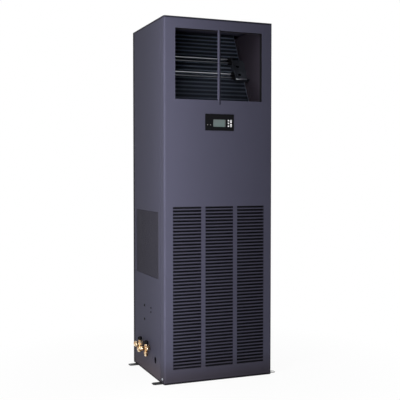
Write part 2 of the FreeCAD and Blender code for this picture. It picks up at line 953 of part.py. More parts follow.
def coil_end_plates():
    """Channel-shaped tube sheets at both ends of the coil."""
    x0 = coil_half
    x1 = coil_half + sheet
    x2 = coil_half + coil_flange
    outline = [(x0, 0), (x2, 0), (x2, sheet), (x1, sheet), (x1, coil_depth - sheet)]
    outline += [(x2, coil_depth - sheet), (x2, coil_depth), (x0, coil_depth)]
    right = on_coil(along_z(outline, 0, coil_length))
    return group([right, mirrored(right)])


def return_bend(side, lower):
    """A half-round tube that joins two neighbouring tubes of the front row."""
    bend = tube_pitch / 2
    end = side * (coil_half + sheet)
    crown = end + side * bend
    low = (lower + 1) * tube_pitch - bend
    high = low + tube_pitch
    y = row_pitch / 2
    route = [(end, y, low), (crown, y, low), (crown, y, high), (end, y, high)]
    return on_coil(pipe(route, tube_radius, bend, return_bend_sides))


def coil_return_bends():
    right = [return_bend(1, lower) for lower in range(0, tube_count - 1, 2)]
    left = [return_bend(-1, lower) for lower in range(1, tube_count - 1, 2)]
    return group(right + left)


def drain_pan():
    y0 = y_post + pan_front
    y1 = coil_foot_y + coil_depth * math.cos(tilt) + pan_rear
    inside = cheek_inner
    half = inside + sheet
    outer = box(-half, half, y0, y1, z_pan, z_pan + pan_height)
    pan = outer.cut(box(-inside, inside, y0 + sheet, y1 - sheet, z_pan + sheet, z_pan + pan_height))
    spout_x = -inside + spout_radius + 2 * sheet
    spout_y = y1 - 2 * spout_radius
    spout = bar((spout_x, spout_y, z_pan), (0, 0, -1), spout_radius, spout_length, bar_sides)
    top = (spout_x, spout_y, z_pan + sheet)
    hole = bar(top, (0, 0, -1), spout_radius - sheet, spout_length + sheet, bar_sides)
    return joined([pan, spout]).cut(hole)


def heater_hairpin(along):
    """A U-shaped heater tube whose bend is on the left."""
    end = heater_right + heater_tail
    bend = heater_leg_pitch / 2
    crown = -heater_left - heater_run - bend
    high = along + heater_leg_pitch
    y = -heater_standoff
    route = [(end, y, along), (crown, y, along), (crown, y, high), (end, y, high)]
    return on_coil(pipe(route, heater_radius, bend, pipe_sides))


def heater_tubes():
    return group([heater_hairpin(along) for along in heater_along])


def heater_bracket(leg_x):
    """A right-hand bracket: a plate in front of the coil, a drilled leg for the heaters and a lip below."""
    low = heater_along[0] - bracket_margin
    high = heater_along[-1] + heater_leg_pitch + bracket_margin
    outline = [(leg_x, -bracket_front), (leg_x + sheet, -bracket_front), (leg_x + sheet, -bracket_stand)]
    outline += [(cheek_inner, -bracket_stand), (cheek_inner, sheet - bracket_stand)]
    outline += [(leg_x, sheet - bracket_stand)]
    lip = box(leg_x, cheek_inner, -bracket_front, -bracket_stand, low, low + sheet)
    plate = joined([along_z(outline, low, high), lip])
    holes = []
    for along in heater_along:
        for leg in (along, along + heater_leg_pitch):
            place = (leg_x, -heater_standoff, leg)
            holes.append(bar(place, (1, 0, 0), heater_radius, sheet, pipe_sides))
    for along in bracket_hole_along:
        place = ((leg_x + cheek_inner) / 2, -bracket_stand, along)
        holes.append(bar(place, (0, 1, 0), bracket_hole_radius, sheet, bar_sides))
    return on_coil(plate.cut(group(holes)))


def heater_brackets():
    return group([heater_bracket(heater_right), mirrored(heater_bracket(heater_left))])


# Blower

def scroll_solid(grow, x0, x1):
    """The blower's spiral in flat steps, grown outwards, drawn out from x0 to x1."""
    half_step = scroll_step / 2

    def bow(side_y, side_z, radius, start, end):
        turns = [start + (end - start) * i / scroll_turns for i in range(scroll_turns + 1)]
        y = blower_y + side_y * half_step
        z = blower_z + side_z * half_step
        return [(y + (radius + grow) * math.cos(a), z + (radius + grow) * math.sin(a)) for a in turns]

    tongue_y = blower_y + scroll_tongue - grow
    tongue_turn = math.acos((tongue_y - blower_y + half_step) / (scroll_a_radius + grow))
    outline = [(tongue_y, z_deck)] + bow(-1, -1, scroll_a_radius, tongue_turn, math.pi)
    outline += bow(1, -1, scroll_b_radius, math.pi, 1.5 * math.pi)[1:]
    outline += bow(1, 1, scroll_c_radius, 1.5 * math.pi, 2 * math.pi)[1:]
    outline.append((outline[-1][0], z_deck))
    return along_x(outline, x0, x1)


def blower_scroll():
    return scroll_solid(sheet, -scroll_half, scroll_half).cut(scroll_solid(0, -scroll_half, scroll_half))


def inlet_funnel(grow):
    """The inside of the right-hand inlet, from the side wall to its narrow end, grown by a wall."""
    face_x = scroll_half + sheet
    places = ((0, inlet_radius), (inlet_lip / 2, inlet_radius), (inlet_lip, inlet_radius + inlet_lip))
    centres = [(face_x - inlet_lip + along, blower_y, blower_z) for along, _ in places]
    return skin([ring(c, (1, 0, 0), r + grow, wide_sides) for c, (_, r) in zip(centres, places)])


def blower_side_plates():
    """The blower's side walls, each with a flared inlet that reaches into the wheel's eye."""
    front = blower_y - scroll_step / 2 - scroll_a_radius - sheet
    rear = blower_y + scroll_step / 2 + scroll_c_radius + sheet
    low = blower_z - scroll_step / 2 - scroll_b_radius - sheet
    cut = scroll_corner * scroll_b_radius
    outline = [(front + cut, low), (rear - cut, low), (rear, low + cut), (rear, z_deck)]
    outline += [(front + cut, z_deck), (front, z_deck - cut), (front, low + cut)]
    wall = along_x(outline, scroll_half, scroll_half + sheet)
    right = joined([wall, inlet_funnel(sheet)]).cut(inlet_funnel(0))
    return group([right, mirrored(right)])


def fan_deck():
    """The plate above the blower, with its outlet and the notches that the lines pass through."""
    half = inner_half - sheet
    y_back = y_rear - 2 * sheet
    z1 = z_deck + deck_sheet
    deck = box(-half, half, y_post, y_back, z_deck, z1)
    corner = post_leg
    cuts = []
    for x0, x1 in ((-half, -half + corner), (half - corner, half)):
        cuts.append(box(x0, x1, y_post, y_post + corner, z_deck, z1))
        cuts.append(box(x0, x1, y_back - corner, y_back, z_deck, z1))
    outlet_front = blower_y + scroll_tongue
    outlet_rear = blower_y + scroll_step / 2 + scroll_c_radius
    cuts.append(box(-scroll_half, scroll_half, outlet_front, outlet_rear, z_deck, z1))
    suction_x, suction_y, _ = suction_foot()
    for x, y, radius in ((suction_x, suction_y, suction_radius), (riser_x, liquid_valve_y, liquid_radius)):
        room = radius + sheet
        edge = half if x > 0 else -half
        near = x - math.copysign(room, x)
        cuts.append(box(min(near, edge), max(near, edge), y - room, y + room, z_deck, z1))
    return deck.cut(group(cuts))


def blade():
    """One blade, leaning forward from the wheel's eye to its rim."""
    places = ((wheel_inner_radius, 0), (wheel_radius, blade_lead))
    turned = [(radius, math.radians(lead)) for radius, lead in places]
    turned += [(radius, math.radians(lead - blade_turn)) for radius, lead in reversed(places)]
    outline = [(radius * math.cos(turn), radius * math.sin(turn)) for radius, turn in turned]
    return along_x(outline, -wheel_width / 2, wheel_width / 2)


def washer(x0, x1, outer, inner):
    """A flat ring about the shaft whose outer and inner edges have one side for each blade."""
    disc = bar((x0, 0, 0), (1, 0, 0), outer, x1 - x0, blade_count)
    return disc.cut(bar((x0, 0, 0), (1, 0, 0), inner, x1 - x0, blade_count))


def fan_wheel():
    """A double-inlet wheel: a middle disc, two end rings and forward-leaning blades."""
    half = wheel_width / 2
    rim = wheel_radius + wheel_ring
    pieces = [washer(-wheel_disc / 2, wheel_disc / 2, wheel_radius, rotor_radius)]
    pieces.append(washer(-half - wheel_ring, -half, rim, wheel_inner_radius))
    pieces.append(washer(half, half + wheel_ring, rim, wheel_inner_radius))
    for i in range(blade_count):
        turned = blade()
        turned.rotate(vec(0, 0, 0), vec(1, 0, 0), 360 * i / blade_count)
        pieces.append(turned)
    wheel = joined(pieces)
    wheel.translate(vec(0, blower_y, blower_z))
    return wheel


def motor_rotor():
    """The motor's stepped turning shell, which carries the wheel's middle disc."""
    half = rotor_width / 2
    waist = half - rotor_nose
    drum = bar((-waist, 0, 0), (1, 0, 0), rotor_radius, 2 * waist, blade_count)
    nose = bar((-half, 0, 0), (1, 0, 0), rotor_radius - rotor_step, rotor_width, blade_count)
    bore = rod((-half, 0, 0), (1, 0, 0), shaft_radius + running_clearance, rotor_width)
    rotor = joined([drum, nose]).cut(bore)
    rotor.translate(vec(0, blower_y, blower_z))
    return rotor


def motor_mount():
    """The motor's fixed shaft and stator flange, on a three-armed spider over the left inlet."""
    half = rotor_width / 2
    wall = -scroll_half - sheet
    hub_x = wall - spider_stand
    shaft = rod((hub_x - spider_plate, 0, 0), (1, 0, 0), shaft_radius, half + spider_plate - hub_x)
    flange = bar((-half - spider_gap, 0, 0), (-1, 0, 0), stator_radius, stator_plate, blade_count)
    hub = bar((hub_x, 0, 0), (-1, 0, 0), spider_hub_radius, spider_plate, bar_sides)
    seat = inlet_radius + inlet_lip + sheet
    pieces = [shaft, flange, hub]
    for turn in spider_arm_turns:
        wide = spider_arm_width / 2
        arm = box(hub_x - spider_plate, hub_x, -wide, wide, shaft_radius, seat + spider_foot)
        foot = box(hub_x - spider_plate, wall, -wide, wide, seat, seat + spider_foot)
        for piece in (arm, foot):
            piece.rotate(vec(0, 0, 0), vec(1, 0, 0), turn)
            pieces.append(piece)
    mount = joined(pieces)
    mount.translate(vec(0, blower_y, blower_z))
    return mount


# Refrigerant circuit

def compressor():
    """A hermetic shell with a welded cap, a suction port in front, a top port and a base plate."""
    radius = compressor_radius
    low = compressor_bottom
    shoulder = compressor_top - compressor_dome
    shell = bar((0, 0, low), (0, 0, 1), radius, shoulder - low, wide_sides)
    inner = radius - compressor_rim
    waist = (shoulder + compressor_top) / 2
    bands = ((shoulder, 1), (waist, compressor_brow), (compressor_top, compressor_crown))
    cap = skin([ring((0, 0, z), (0, 0, 1), inner * share, wide_sides) for z, share in bands])
    port = (0, 0, low + port_rise)
    suction = bar(port, (0, -1, 0), suction_radius + sheet, radius + port_length, bar_sides)
    outlet_rise = compressor_dome + port_length
    outlet = bar((0, 0, shoulder), (0, 0, 1), discharge_radius + sheet, outlet_rise, bar_sides)
    plate = base_plate(compressor_foot_spread + mount_radius, low)
    whole = joined([shell, cap, suction, outlet, plate])
    whole.translate(vec(compressor_x, compressor_y, 0))
    return whole


def base_plate(reach, top):
    """The square plate under the compressor, with its corners cut off."""
    cut = mount_radius
    near = reach - cut
    outline = [(near, -reach), (reach, -near), (reach, near), (near, reach)]
    outline += [(-near, reach), (-reach, near), (-reach, -near), (-near, -reach)]
    return along_z(outline, top - compressor_foot_plate, top)


def compressor_mounts():
    """Four waisted rubber mounts between the base tray and the compressor's ears."""
    tall = compressor_foot_height - compressor_foot_plate
    waist = mount_waist_radius
    mounts = []
    for side_x in (-1, 1):
        for side_y in (-1, 1):
            x = compressor_x + side_x * compressor_foot_spread
            y = compressor_y + side_y * compressor_foot_spread
            bands = ((0, mount_radius), (tall / 2, waist), (tall, mount_radius))
            mounts.append(skin([ring((x, y, z_floor + z), (0, 0, 1), r, bar_sides) for z, r in bands]))
    return group(mounts)


def header_place(along):
    return coil_point(coil_half + header_outset, row_pitch * header_row, along)


def suction_foot():
    return header_place(tube_pitch / 2)


def suction_line():
    """The coil's header with its stubs, and the line down to the front of the compressor."""
    x, y, z = suction_foot()
    port_z = compressor_bottom + port_rise
    port_y = compressor_y - compressor_radius - port_length
    route = [header_place(coil_length - tube_pitch), (x, y, z), (x, y, port_z)]
    route += [(compressor_x, y, port_z), (compressor_x, port_y, port_z)]
    line = pipe(route, suction_radius, line_bend, pipe_sides)
    stubs = []
    for i in range(header_stubs):
        along = (i + 1) * coil_length / (header_stubs + 1)
        start = (coil_half + sheet, row_pitch * header_row, along)
        stubs.append(on_coil(bar(start, (1, 0, 0), tube_radius, header_outset - sheet, pipe_sides)))
    return joined([line] + stubs)


def discharge_line():
    """The hot gas line from the compressor's top, down behind it and along the base to the gas valve."""
    top = compressor_top + port_length
    high = top + gas_rise
    low = z_base + gas_low_run
    rear = y_rear - gas_rear_room
    riser = -half_width + gas_riser_inset
    x, y = compressor_x, compressor_y
    route = [(x, y, top), (x, y, high), (x, rear, high), (x, rear, low), (riser, rear, low)]
    route += [(riser, gas_valve_y, low), (riser, gas_valve_y, valve_height)]
    route += [(-inner_half + valve_tail, gas_valve_y, valve_height)]
    return pipe(route, discharge_radius, line_bend, pipe_sides)


def drier_ends():
    low = valve_height + drier_rise
    return low, low + drier_length


def liquid_line():
    """The liquid line from its valve to the drier, and on up to the expansion valve."""
    low, high = drier_ends()
    start = (-inner_half + valve_tail, liquid_valve_y, valve_height)
    route = [start, (riser_x, liquid_valve_y, valve_height), (riser_x, liquid_valve_y, low)]
    lower = pipe(route, liquid_radius, small_bend, pipe_sides)
    rise = expansion_foot() - high
    upper = bar((riser_x, liquid_valve_y, high), (0, 0, 1), liquid_radius, rise, pipe_sides)
    return group([lower, upper])


def filter_drier():
    low, high = drier_ends()
    end = liquid_radius + sheet
    bands = ((low, end), (low + drier_neck, drier_radius), (high - drier_neck, drier_radius), (high, end))
    return skin([ring((riser_x, liquid_valve_y, z), (0, 0, 1), r, bar_sides) for z, r in bands])


def coil_inlet():
    return coil_point(-coil_half - sheet, coil_depth / 2, feed_tube * tube_pitch)


def expansion_foot():
    return coil_inlet()[2] - expansion_drop


def expansion_valve():
    """The expansion valve's body and power head, with the feed pipe into the coil."""
    low = expansion_foot()
    x, y = riser_x, liquid_valve_y
    middle = low + expansion_height / 2
    body = bar((x, y, low), (0, 0, 1), expansion_radius, expansion_height, bar_sides)
    neck = bar((x, y, middle), (0, 1, 0), liquid_radius, power_head_reach, bar_sides)
    place = (x, y + power_head_reach, middle)
    head = bar(place, (0, 1, 0), power_head_radius, power_head_height, bar_sides)
    end = coil_inlet()
    route = [(x, y, low + expansion_height), (x, y, end[2]), (x, end[1], end[2]), end]
    feed = pipe(route, liquid_radius, feed_bend, pipe_sides)
    return joined([body, neck, head, feed])


def service_valve(y, port_radius):
    """A service valve: barrel through the side, stem outwards, flare port down, test port forward."""
    inside = -inner_half + valve_tail
    outside = valve_x - valve_barrel_radius
    barrel = bar((inside, y, valve_height), (-1, 0, 0), valve_barrel_radius, inside - outside, bar_sides)
    flange = hex_prism((-inner_half, y, valve_height), (-1, 0, 0), valve_flange_flats, sheet)
    stem = bar((outside, y, valve_height), (-1, 0, 0), valve_stem_radius, valve_stem_length, bar_sides)
    centre = (valve_x, y, valve_height)
    port = bar(centre, (0, 0, -1), port_radius, flare_port_length, bar_sides)
    test_port = bar(centre, (0, -1, 0), service_port_radius, service_port_length, bar_sides)
    return joined([barrel, flange, stem, port, test_port])


def valve_plate():
    """The steel plate behind the side's round holes that carries both valves."""
    margin = valve_plate_margin
    y0 = min(liquid_valve_y, gas_valve_y) - margin
    y1 = max(liquid_valve_y, gas_valve_y) + margin
    x1 = -inner_half + valve_plate_sheet
    plate = box(-inner_half, x1, y0, y1, valve_height - margin, valve_height + margin)
    holes = [
        bar((-inner_half, y, valve_height), (1, 0, 0), valve_barrel_radius, valve_plate_sheet, bar_sides)
        for y in (liquid_valve_y, gas_valve_y)
    ]
    return plate.cut(group(holes))


def stem_cap(y, flats):
    """A hexagonal cap over a valve's stem."""
    start = valve_x - valve_barrel_radius
    cap = hex_prism((start, y, valve_height), (-1, 0, 0), flats, valve_cap_length)
    stem = bar((start, y, valve_height), (-1, 0, 0), valve_stem_radius, valve_stem_length, bar_sides)
    return cap.cut(stem)


def service_cap(y):
    """A small hexagonal cap over a valve's test port."""
    tip = y - service_port_length
    over = service_cap_length / 2
    start = (valve_x, tip + over, valve_height)
    cap = hex_prism(start, (0, -1, 0), service_cap_flats, service_cap_length)
    return cap.cut(bar(start, (0, -1, 0), service_port_radius, over, bar_sides))


def valve_caps():
    caps = [stem_cap(liquid_valve_y, liquid_nut_flats), stem_cap(gas_valve_y, gas_nut_flats)]
    return group(caps + [service_cap(y) for y in (liquid_valve_y, gas_valve_y)])


def flare_nut(y, flats, port_radius, pipe_radius):
    """A flare nut on the downward port, bored for the pipe that a fitter brings to it."""
    top = valve_height - flare_port_length + flare_nut_over
    nut = hex_prism((valve_x, y, top), (0, 0, -1), flats, flare_nut_length)
    thread = bar((valve_x, y, top), (0, 0, -1), port_radius + thread_clearance, flare_nut_over, bar_sides)
    bore = rod((valve_x, y, top), (0, 0, -1), pipe_radius, flare_nut_length)
    return nut.cut(thread).cut(bore)


def flare_nuts():
    return group([
        flare_nut(liquid_valve_y, liquid_nut_flats, liquid_port_radius, liquid_pipe_radius),
        flare_nut(gas_valve_y, gas_nut_flats, gas_port_radius, gas_pipe_radius),
    ])


# Electrical tray

def electrical_tray():
    """An open-fronted tray with ears behind the front posts and a mounting rail across its back."""
    half = tray_half_width
    outer = box(-half, half, y_tray_front, y_tray_back, z_tray_bottom, z_tray_top)
    inside = box(-half + sheet, half - sheet, y_tray_front, y_tray_back - sheet,
                 z_tray_bottom + sheet, z_tray_top - sheet)
    ear_front = y_tray_front - sheet
    ear = box(half - sheet, half + ear_width, ear_front, y_tray_front, z_tray_bottom, z_tray_top)
    strip_half = rail_strip_height / 2
    strip = box(-half + sheet, half - sheet, y_tray_back - sheet - rail_strip_depth, y_tray_back - sheet,
                z_rail_strip - strip_half, z_rail_strip + strip_half)
    return joined([outer.cut(inside), ear, mirrored(ear), strip])


def on_rail(x, width, height, depth):
    """A block that hangs on the mounting rail."""
    back = y_tray_back - sheet - rail_strip_depth
    half = width / 2
    return box(x - half, x + half, back - depth, back, z_rail_strip - height / 2, z_rail_strip + height / 2)


def lever_axis_y():
    front = y_tray_back - sheet - rail_strip_depth - breaker_depth
    return front + lever_slot_depth / 2


def breaker():
    """A rail-mounted breaker with a raised middle and a slot for its lever."""
    body = on_rail(breaker_x, breaker_width, breaker_height, breaker_depth - lever_slot_depth)
    nose = on_rail(breaker_x, breaker_width, breaker_height / 2, breaker_depth)
    half = lever_slot_width / 2
    tall = lever_slot_height / 2
    y = lever_axis_y()
    slot = box(breaker_x - half, breaker_x + half, y - lever_slot_depth, y + lever_slot_depth / 2,
               z_rail_strip - tall, z_rail_strip + tall)
    axle = rod((breaker_x - half, y, z_rail_strip), (1, 0, 0), lever_axle_radius, lever_slot_width)
    return joined([body.fuse(nose).cut(slot), axle])


def breaker_lever():
    """The breaker's lever, up at rest, on its axle."""
    half = lever_slot_width / 2 - lever_clearance
    y = lever_axis_y()
    hub = bar((breaker_x - half, y, z_rail_strip), (1, 0, 0), lever_hub_radius, 2 * half, bar_sides)
    arm = box(breaker_x - half, breaker_x + half, y - lever_length, y,
              z_rail_strip - lever_thickness / 2, z_rail_strip + lever_thickness / 2)
    arm.rotate(vec(breaker_x, y, z_rail_strip), vec(1, 0, 0), lever_rest_turn)
    bore_radius = lever_axle_radius + running_clearance
    bore = rod((breaker_x - half, y, z_rail_strip), (1, 0, 0), bore_radius, 2 * half)
    return joined([hub, arm]).cut(bore)


def contactors():
    """Two stepped contactors beside the breaker."""
    blocks = []
    for x in contactor_xs:
        low = on_rail(x, contactor_width, contactor_height, contactor_depth - contactor_step)
        high = on_rail(x, contactor_width, contactor_height - 2 * contactor_step, contactor_depth)
        blocks.append(joined([low, high]))
    return group(blocks)


def terminal_block():
    """A terminal strip with a barrier between each pair of ways."""
    base = on_rail(terminal_x, terminal_width, terminal_height, terminal_depth / 2)
    barriers = []
    for i in range(terminal_ways + 1):
        x = terminal_x - (terminal_width - terminal_barrier) / 2
        x += i * (terminal_width - terminal_barrier) / terminal_ways
        barriers.append(on_rail(x, terminal_barrier, terminal_height, terminal_depth))
    return joined([base] + barriers)


def control_board():
    """A circuit board on studs, with its relays and plugs."""
    back = y_tray_back - sheet
    front = back - control_board_stand - board_thickness
    half = control_board_width / 2
    top = z_tray_top - sheet - control_board_drop
    low = top - control_board_height
    x = control_board_x
    board = box(x - half, x + half, front, front + board_thickness, low, top)
    pieces = [board]
    for side in (-1, 1):
        for z in (low + control_board_edge, top - control_board_edge):
            stud_x = x + side * (half - control_board_edge)
            pieces.append(bar((stud_x, front, z), (0, 1, 0), stud_radius, back - front, hex_sides))
    step = control_board_width / relay_count
    inset = control_board_edge / 2
    for i in range(relay_count):
        mid = x - half + step * (i + 0.5)
        relay_low = low + inset
        plug_low = top - inset - plug_height
        pieces.append(box(mid - relay_width / 2, mid + relay_width / 2, front - relay_depth, front,
                          relay_low, relay_low + relay_height))
        pieces.append(box(mid - plug_width / 2, mid + plug_width / 2, front - plug_depth, front,
                          plug_low, plug_low + plug_height))
    return joined(pieces)


parts = {
    "base_tray": base_tray(),
    "foot_brackets": foot_brackets(),
    "left_panel": left_panel(),
    "right_panel": mirrored(side_sheet()),
    "rear_panel": rear_panel(),
    "top_panel": top_panel(),
    "cabinet_frame": cabinet_frame(),
    "side_vent_screen": side_vent_screen(),
    "front_door": front_door(),
    "return_grille": return_grille(),
    "mullion": mullion(),
    "air_filter": air_filter(),
    "hinge_arms": hinge_arms(),
    "hinge_blocks": hinge_blocks(),
    "lock_keepers": lock_keepers(),
    "display_bezel": display_bezel(),
    "lcd_screen": lcd_screen(),
    "display_board": display_board(),
    "indicator_lamps": indicator_lamps(),
    "discharge_collar": discharge_collar(),
    "collar_gasket": collar_gasket(),
    "plenum_cheeks": plenum_cheeks(),
    "coil_fins": coil_fins(),
    "coil_end_plates": coil_end_plates(),
    "coil_return_bends": coil_return_bends(),
    "drain_pan": drain_pan(),
    "heater_tubes": heater_tubes(),
    "heater_brackets": heater_brackets(),
    "fan_deck": fan_deck(),
    "blower_scroll": blower_scroll(),
    "blower_side_plates": blower_side_plates(),
    "fan_wheel": fan_wheel(),
    "motor_rotor": motor_rotor(),
    "motor_mount": motor_mount(),
    "compressor": compressor(),
    "compressor_mounts": compressor_mounts(),
    "suction_line": suction_line(),
    "discharge_line": discharge_line(),
    "liquid_line": liquid_line(),
    "filter_drier": filter_drier(),
    "expansion_valve": expansion_valve(),
    "valve_plate": valve_plate(),
    "liquid_valve": service_valve(liquid_valve_y, liquid_port_radius),
    "gas_valve": service_valve(gas_valve_y, gas_port_radius),
    "valve_caps": valve_caps(),
    "flare_nuts": flare_nuts(),
    "electrical_tray": electrical_tray(),
    "breaker": breaker(),
    "breaker_lever": breaker_lever(),
    "contactors": contactors(),
    "terminal_block": terminal_block(),
    "control_board": control_board(),
}
key_names = ("key_up", "key_enter", "key_down", "key_power", "key_escape")
for name, place in zip(key_names, key_places()):
    parts[name] = display_key(*place)
for name, height in zip(("lock_lower", "lock_upper"), lock_heights):
    parts[name] = door_lock(height)

os.makedirs("parts", exist_ok=True)
for name, shape in parts.items():
    shape.exportStep("parts/" + name + ".step")
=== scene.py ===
"""The looks of a precision air conditioner: finishes for its solids, and finely made pieces around them."""
import json
import math

import bmesh
import bpy
from mathutils import Matrix, Vector


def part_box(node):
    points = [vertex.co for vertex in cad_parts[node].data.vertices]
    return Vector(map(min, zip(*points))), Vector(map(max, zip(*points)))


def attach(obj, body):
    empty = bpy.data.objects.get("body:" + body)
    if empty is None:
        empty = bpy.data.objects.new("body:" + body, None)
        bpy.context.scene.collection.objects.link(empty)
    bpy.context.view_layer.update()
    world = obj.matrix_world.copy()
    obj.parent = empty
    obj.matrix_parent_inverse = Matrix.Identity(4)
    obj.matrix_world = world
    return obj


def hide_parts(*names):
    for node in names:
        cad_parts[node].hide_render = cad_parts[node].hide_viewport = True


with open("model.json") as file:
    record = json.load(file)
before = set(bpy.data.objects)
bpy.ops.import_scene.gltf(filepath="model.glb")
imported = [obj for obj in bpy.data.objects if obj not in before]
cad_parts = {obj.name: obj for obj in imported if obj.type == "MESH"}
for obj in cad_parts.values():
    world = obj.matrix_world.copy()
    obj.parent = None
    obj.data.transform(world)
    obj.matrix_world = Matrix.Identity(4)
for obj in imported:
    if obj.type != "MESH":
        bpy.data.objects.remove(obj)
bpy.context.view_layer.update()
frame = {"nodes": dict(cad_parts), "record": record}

# Sizes and places in metres, angles in radians, counts, and light levels

left_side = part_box("left_panel")[0].x
door_low, door_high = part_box("front_door")
door_face = door_low.y
cabinet_low, cabinet_high = door_low.z, door_high.z
side_skin, face_skin = 0.001, 0.003
edge_highlight_width = 0.007
edge_shade_height = 0.009
rear_edge = 0.2365
low_band_top, low_band_depth = 0.13, 0.10
slot_half = 0.2535
slot_low, slot_high = 0.077, 0.902
strip_inner, strip_outer = 0.0770, 0.0999
sheet = 0.0015

opening_half = 0.2416
opening_low, opening_high = 1.4419, 1.7991
opening_lip, opening_depth = 0.0016, 0.030
opening_sill = 1.4435
bar_half = 0.0078
bar_nose = 0.0065
bar_shade_start, bar_shade_depth, bar_shade_drop = -0.001, 0.012, 0.02

vent_low, vent_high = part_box("side_vent_screen")
vent_rim, vent_front_rim = 0.010, 0.018
wire_pitch, wire_width = 0.0032, 0.0013

foot_length, foot_half, foot_corner = 0.090, 0.020, 0.008
foot_ease, foot_step = 0.0006, 0.001
bolt_reach, bolt_run, bolt_radius = 0.322, 0.005, 0.005

coil_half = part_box("coil_fins")[1].x
coil_foot = Vector((0.0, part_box("coil_end_plates")[0].y, 1.353))
coil_tilt = math.radians(27.8)
leaning = Matrix.Translation(coil_foot) @ Matrix.Rotation(-coil_tilt, 4, "X")
coil_length, coil_depth = 0.5334, 0.066
tube_pitch, tube_radius, tube_rows = 0.0254, 0.0048, 3
coil_reach = coil_length + tube_pitch
fin_pitch, fin_gauge, fin_ripple, fin_end_highlight = 0.003, 0.0003, 0.0012, 0.004
discharge_shade_line = 1.42

heater_along = (0.250, 0.346)
heater_leg_pitch, heater_radius, heater_standoff = 0.022, 0.0055, 0.030
heater_left, heater_right = 0.195, 0.172
heater_run, heater_tail = 0.005, 0.006
glint_below, glint_above = 0.0035, 0.008
bush_radius, bush_length, bush_round = 0.0100, 0.020, 0.0015
bracket_front, bracket_margin = 0.043, 0.012
bracket_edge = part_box("heater_brackets")[1].x
hem_drop, hem_short, hem_gauge = 0.008, 0.020, 0.0012

valve_x, valve_z = -0.317, 0.144
valve_tail, valve_seat, valve_face = -0.2825, -0.2985, -0.329
valves = (("liquid_valve", -0.018, 0.022, 0.0079, 0.00485), ("gas_valve", 0.095, 0.029, 0.0111, 0.0080))

bezel_low, bezel_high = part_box("display_bezel")
bezel_corner, bezel_inset, bezel_wall = 0.002, 0.004, 0.0015
screen_low, screen_high = Vector((-0.035, 0.0, 1.3085)), Vector((0.033, 0.0, 1.3455))
screen_corner = 0.003
lamp_spots = ((-0.066, 1.318), (-0.050, 1.318))
lamp_root, lamp_hole = -0.258, 0.0025
key_edge, key_corner, key_sink = 0.0010, 0.0032, 0.0001
key_pillow = ((0.0012, 0.0), (0.0005, 0.0003), (0.0, 0.0012))
window_edge, window_corner = 0.0007, 0.0034
sign_depth = 0.0002

hub = Vector((0.0, 0.031, 0.794))
wheel_half, wheel_radius, wheel_eye = 0.110, 0.125, 0.103
wheel_rim, disc_gauge, disc_bore, disc_gap = 0.003, 0.003, 0.060, 0.001
blade_count, blade_steps, blade_gauge = 42, 5, 0.008
blade_sweep = math.radians(9.0)
rotor_ribs, rib_pitch = 9, 0.0068
scroll_half = 0.120
scroll_radii = (0.151, 0.175, 0.199)
scroll_step, scroll_tongue, scroll_turns = 0.012, 0.085, 24
wall_margin = 0.006
inlet_radius, inlet_flare, inlet_gauge = 0.097, 0.0135, 0.0012
deck_z = 1.004

compressor_x, compressor_y = 0.212, 0.090
compressor_low, compressor_high = 0.0435, 0.4435
compressor_port = compressor_low + 0.290
port_seat, port_end, outlet_sink = 0.070, 0.094, 0.004
washer_outer, washer_bore, washer_gauge = 0.0095, 0.004, 0.0015
mount_flats, mount_height = 0.010, 0.006
mount_spread, mount_z = 0.064, 0.0055
riser_x, riser_y = -0.265, -0.018
suction_radius, gas_radius, liquid_radius = 0.011, 0.008, 0.006
wide_bend, liquid_bend, valve_bend = 0.028, 0.016, 0.009
gas_rise, gas_stub, stub_length = 0.056, 0.040, 0.0305
drier_low, drier_high = 0.244, 0.384
header_gap, header_depth, header_stubs = 0.032, 0.0528, 4

filter_rim, filter_round = 0.014, 0.0012
folds, fold_inset, fold_room, cloth_gauge = 112, 0.001, 0.004, 0.0012

floor_low, floor_high, floor_round = (-6.0, -6.0, -0.02), (6.0, 8.0, -0.0005), 0.004
floor_glow, floor_fade = 0.94, 1.3
ambient_level = 0.125
camera_lens = 68.92
camera_place = (-1.5398, -3.8804, 1.0743)
camera_dip = math.radians(2.044)
camera_turn = math.radians(-21.619)

# Tones

paint_tone = (0.070, 0.069, 0.103)
slat_shade = 0.32
front_low_tone, side_low_tone = (0.032, 0.024, 0.024), (0.100, 0.080, 0.090)
black, white = (0.0, 0.0, 0.0), (1, 1, 1, 1)


# Shader maths

class Wire:
    """A socket whose sums and products become Math nodes. | takes the larger of two, and & the smaller."""

    def __init__(self, nodes, socket):
        self.nodes = nodes
        self.socket = socket

    def maths(self, operation, first, second=0.0):
        return self.nodes.add("ShaderNodeMath", {"operation": operation}, {0: first, 1: second})

    def __add__(self, other):
        return self.maths("ADD", self, other)

    __radd__ = __add__

    def __sub__(self, other):
        return self.maths("SUBTRACT", self, other)

    def __rsub__(self, other):
        return self.maths("SUBTRACT", other, self)

    def __mul__(self, other):
        return self.maths("MULTIPLY", self, other)

    __rmul__ = __mul__

    def __truediv__(self, other):
        return self.maths("DIVIDE", self, other)

    def __gt__(self, level):
        return self.maths("GREATER_THAN", self, level)

    def __lt__(self, level):
        return self.maths("LESS_THAN", self, level)

    def __or__(self, other):
        return self.maths("MAXIMUM", self, other)

    def __and__(self, other):
        return self.maths("MINIMUM", self, other)

    def fraction(self):
        return self.maths("FRACT", self)

    def sine(self):
        return self.maths("SINE", self)

    def within(self, reach):
        """1 nearer to the middle than a reach to either side."""
        return self * self < reach * reach

    def beyond(self, reach):
        return self * self > reach * reach

    def between(self, low, high):
        return (self > low) * (self < high)


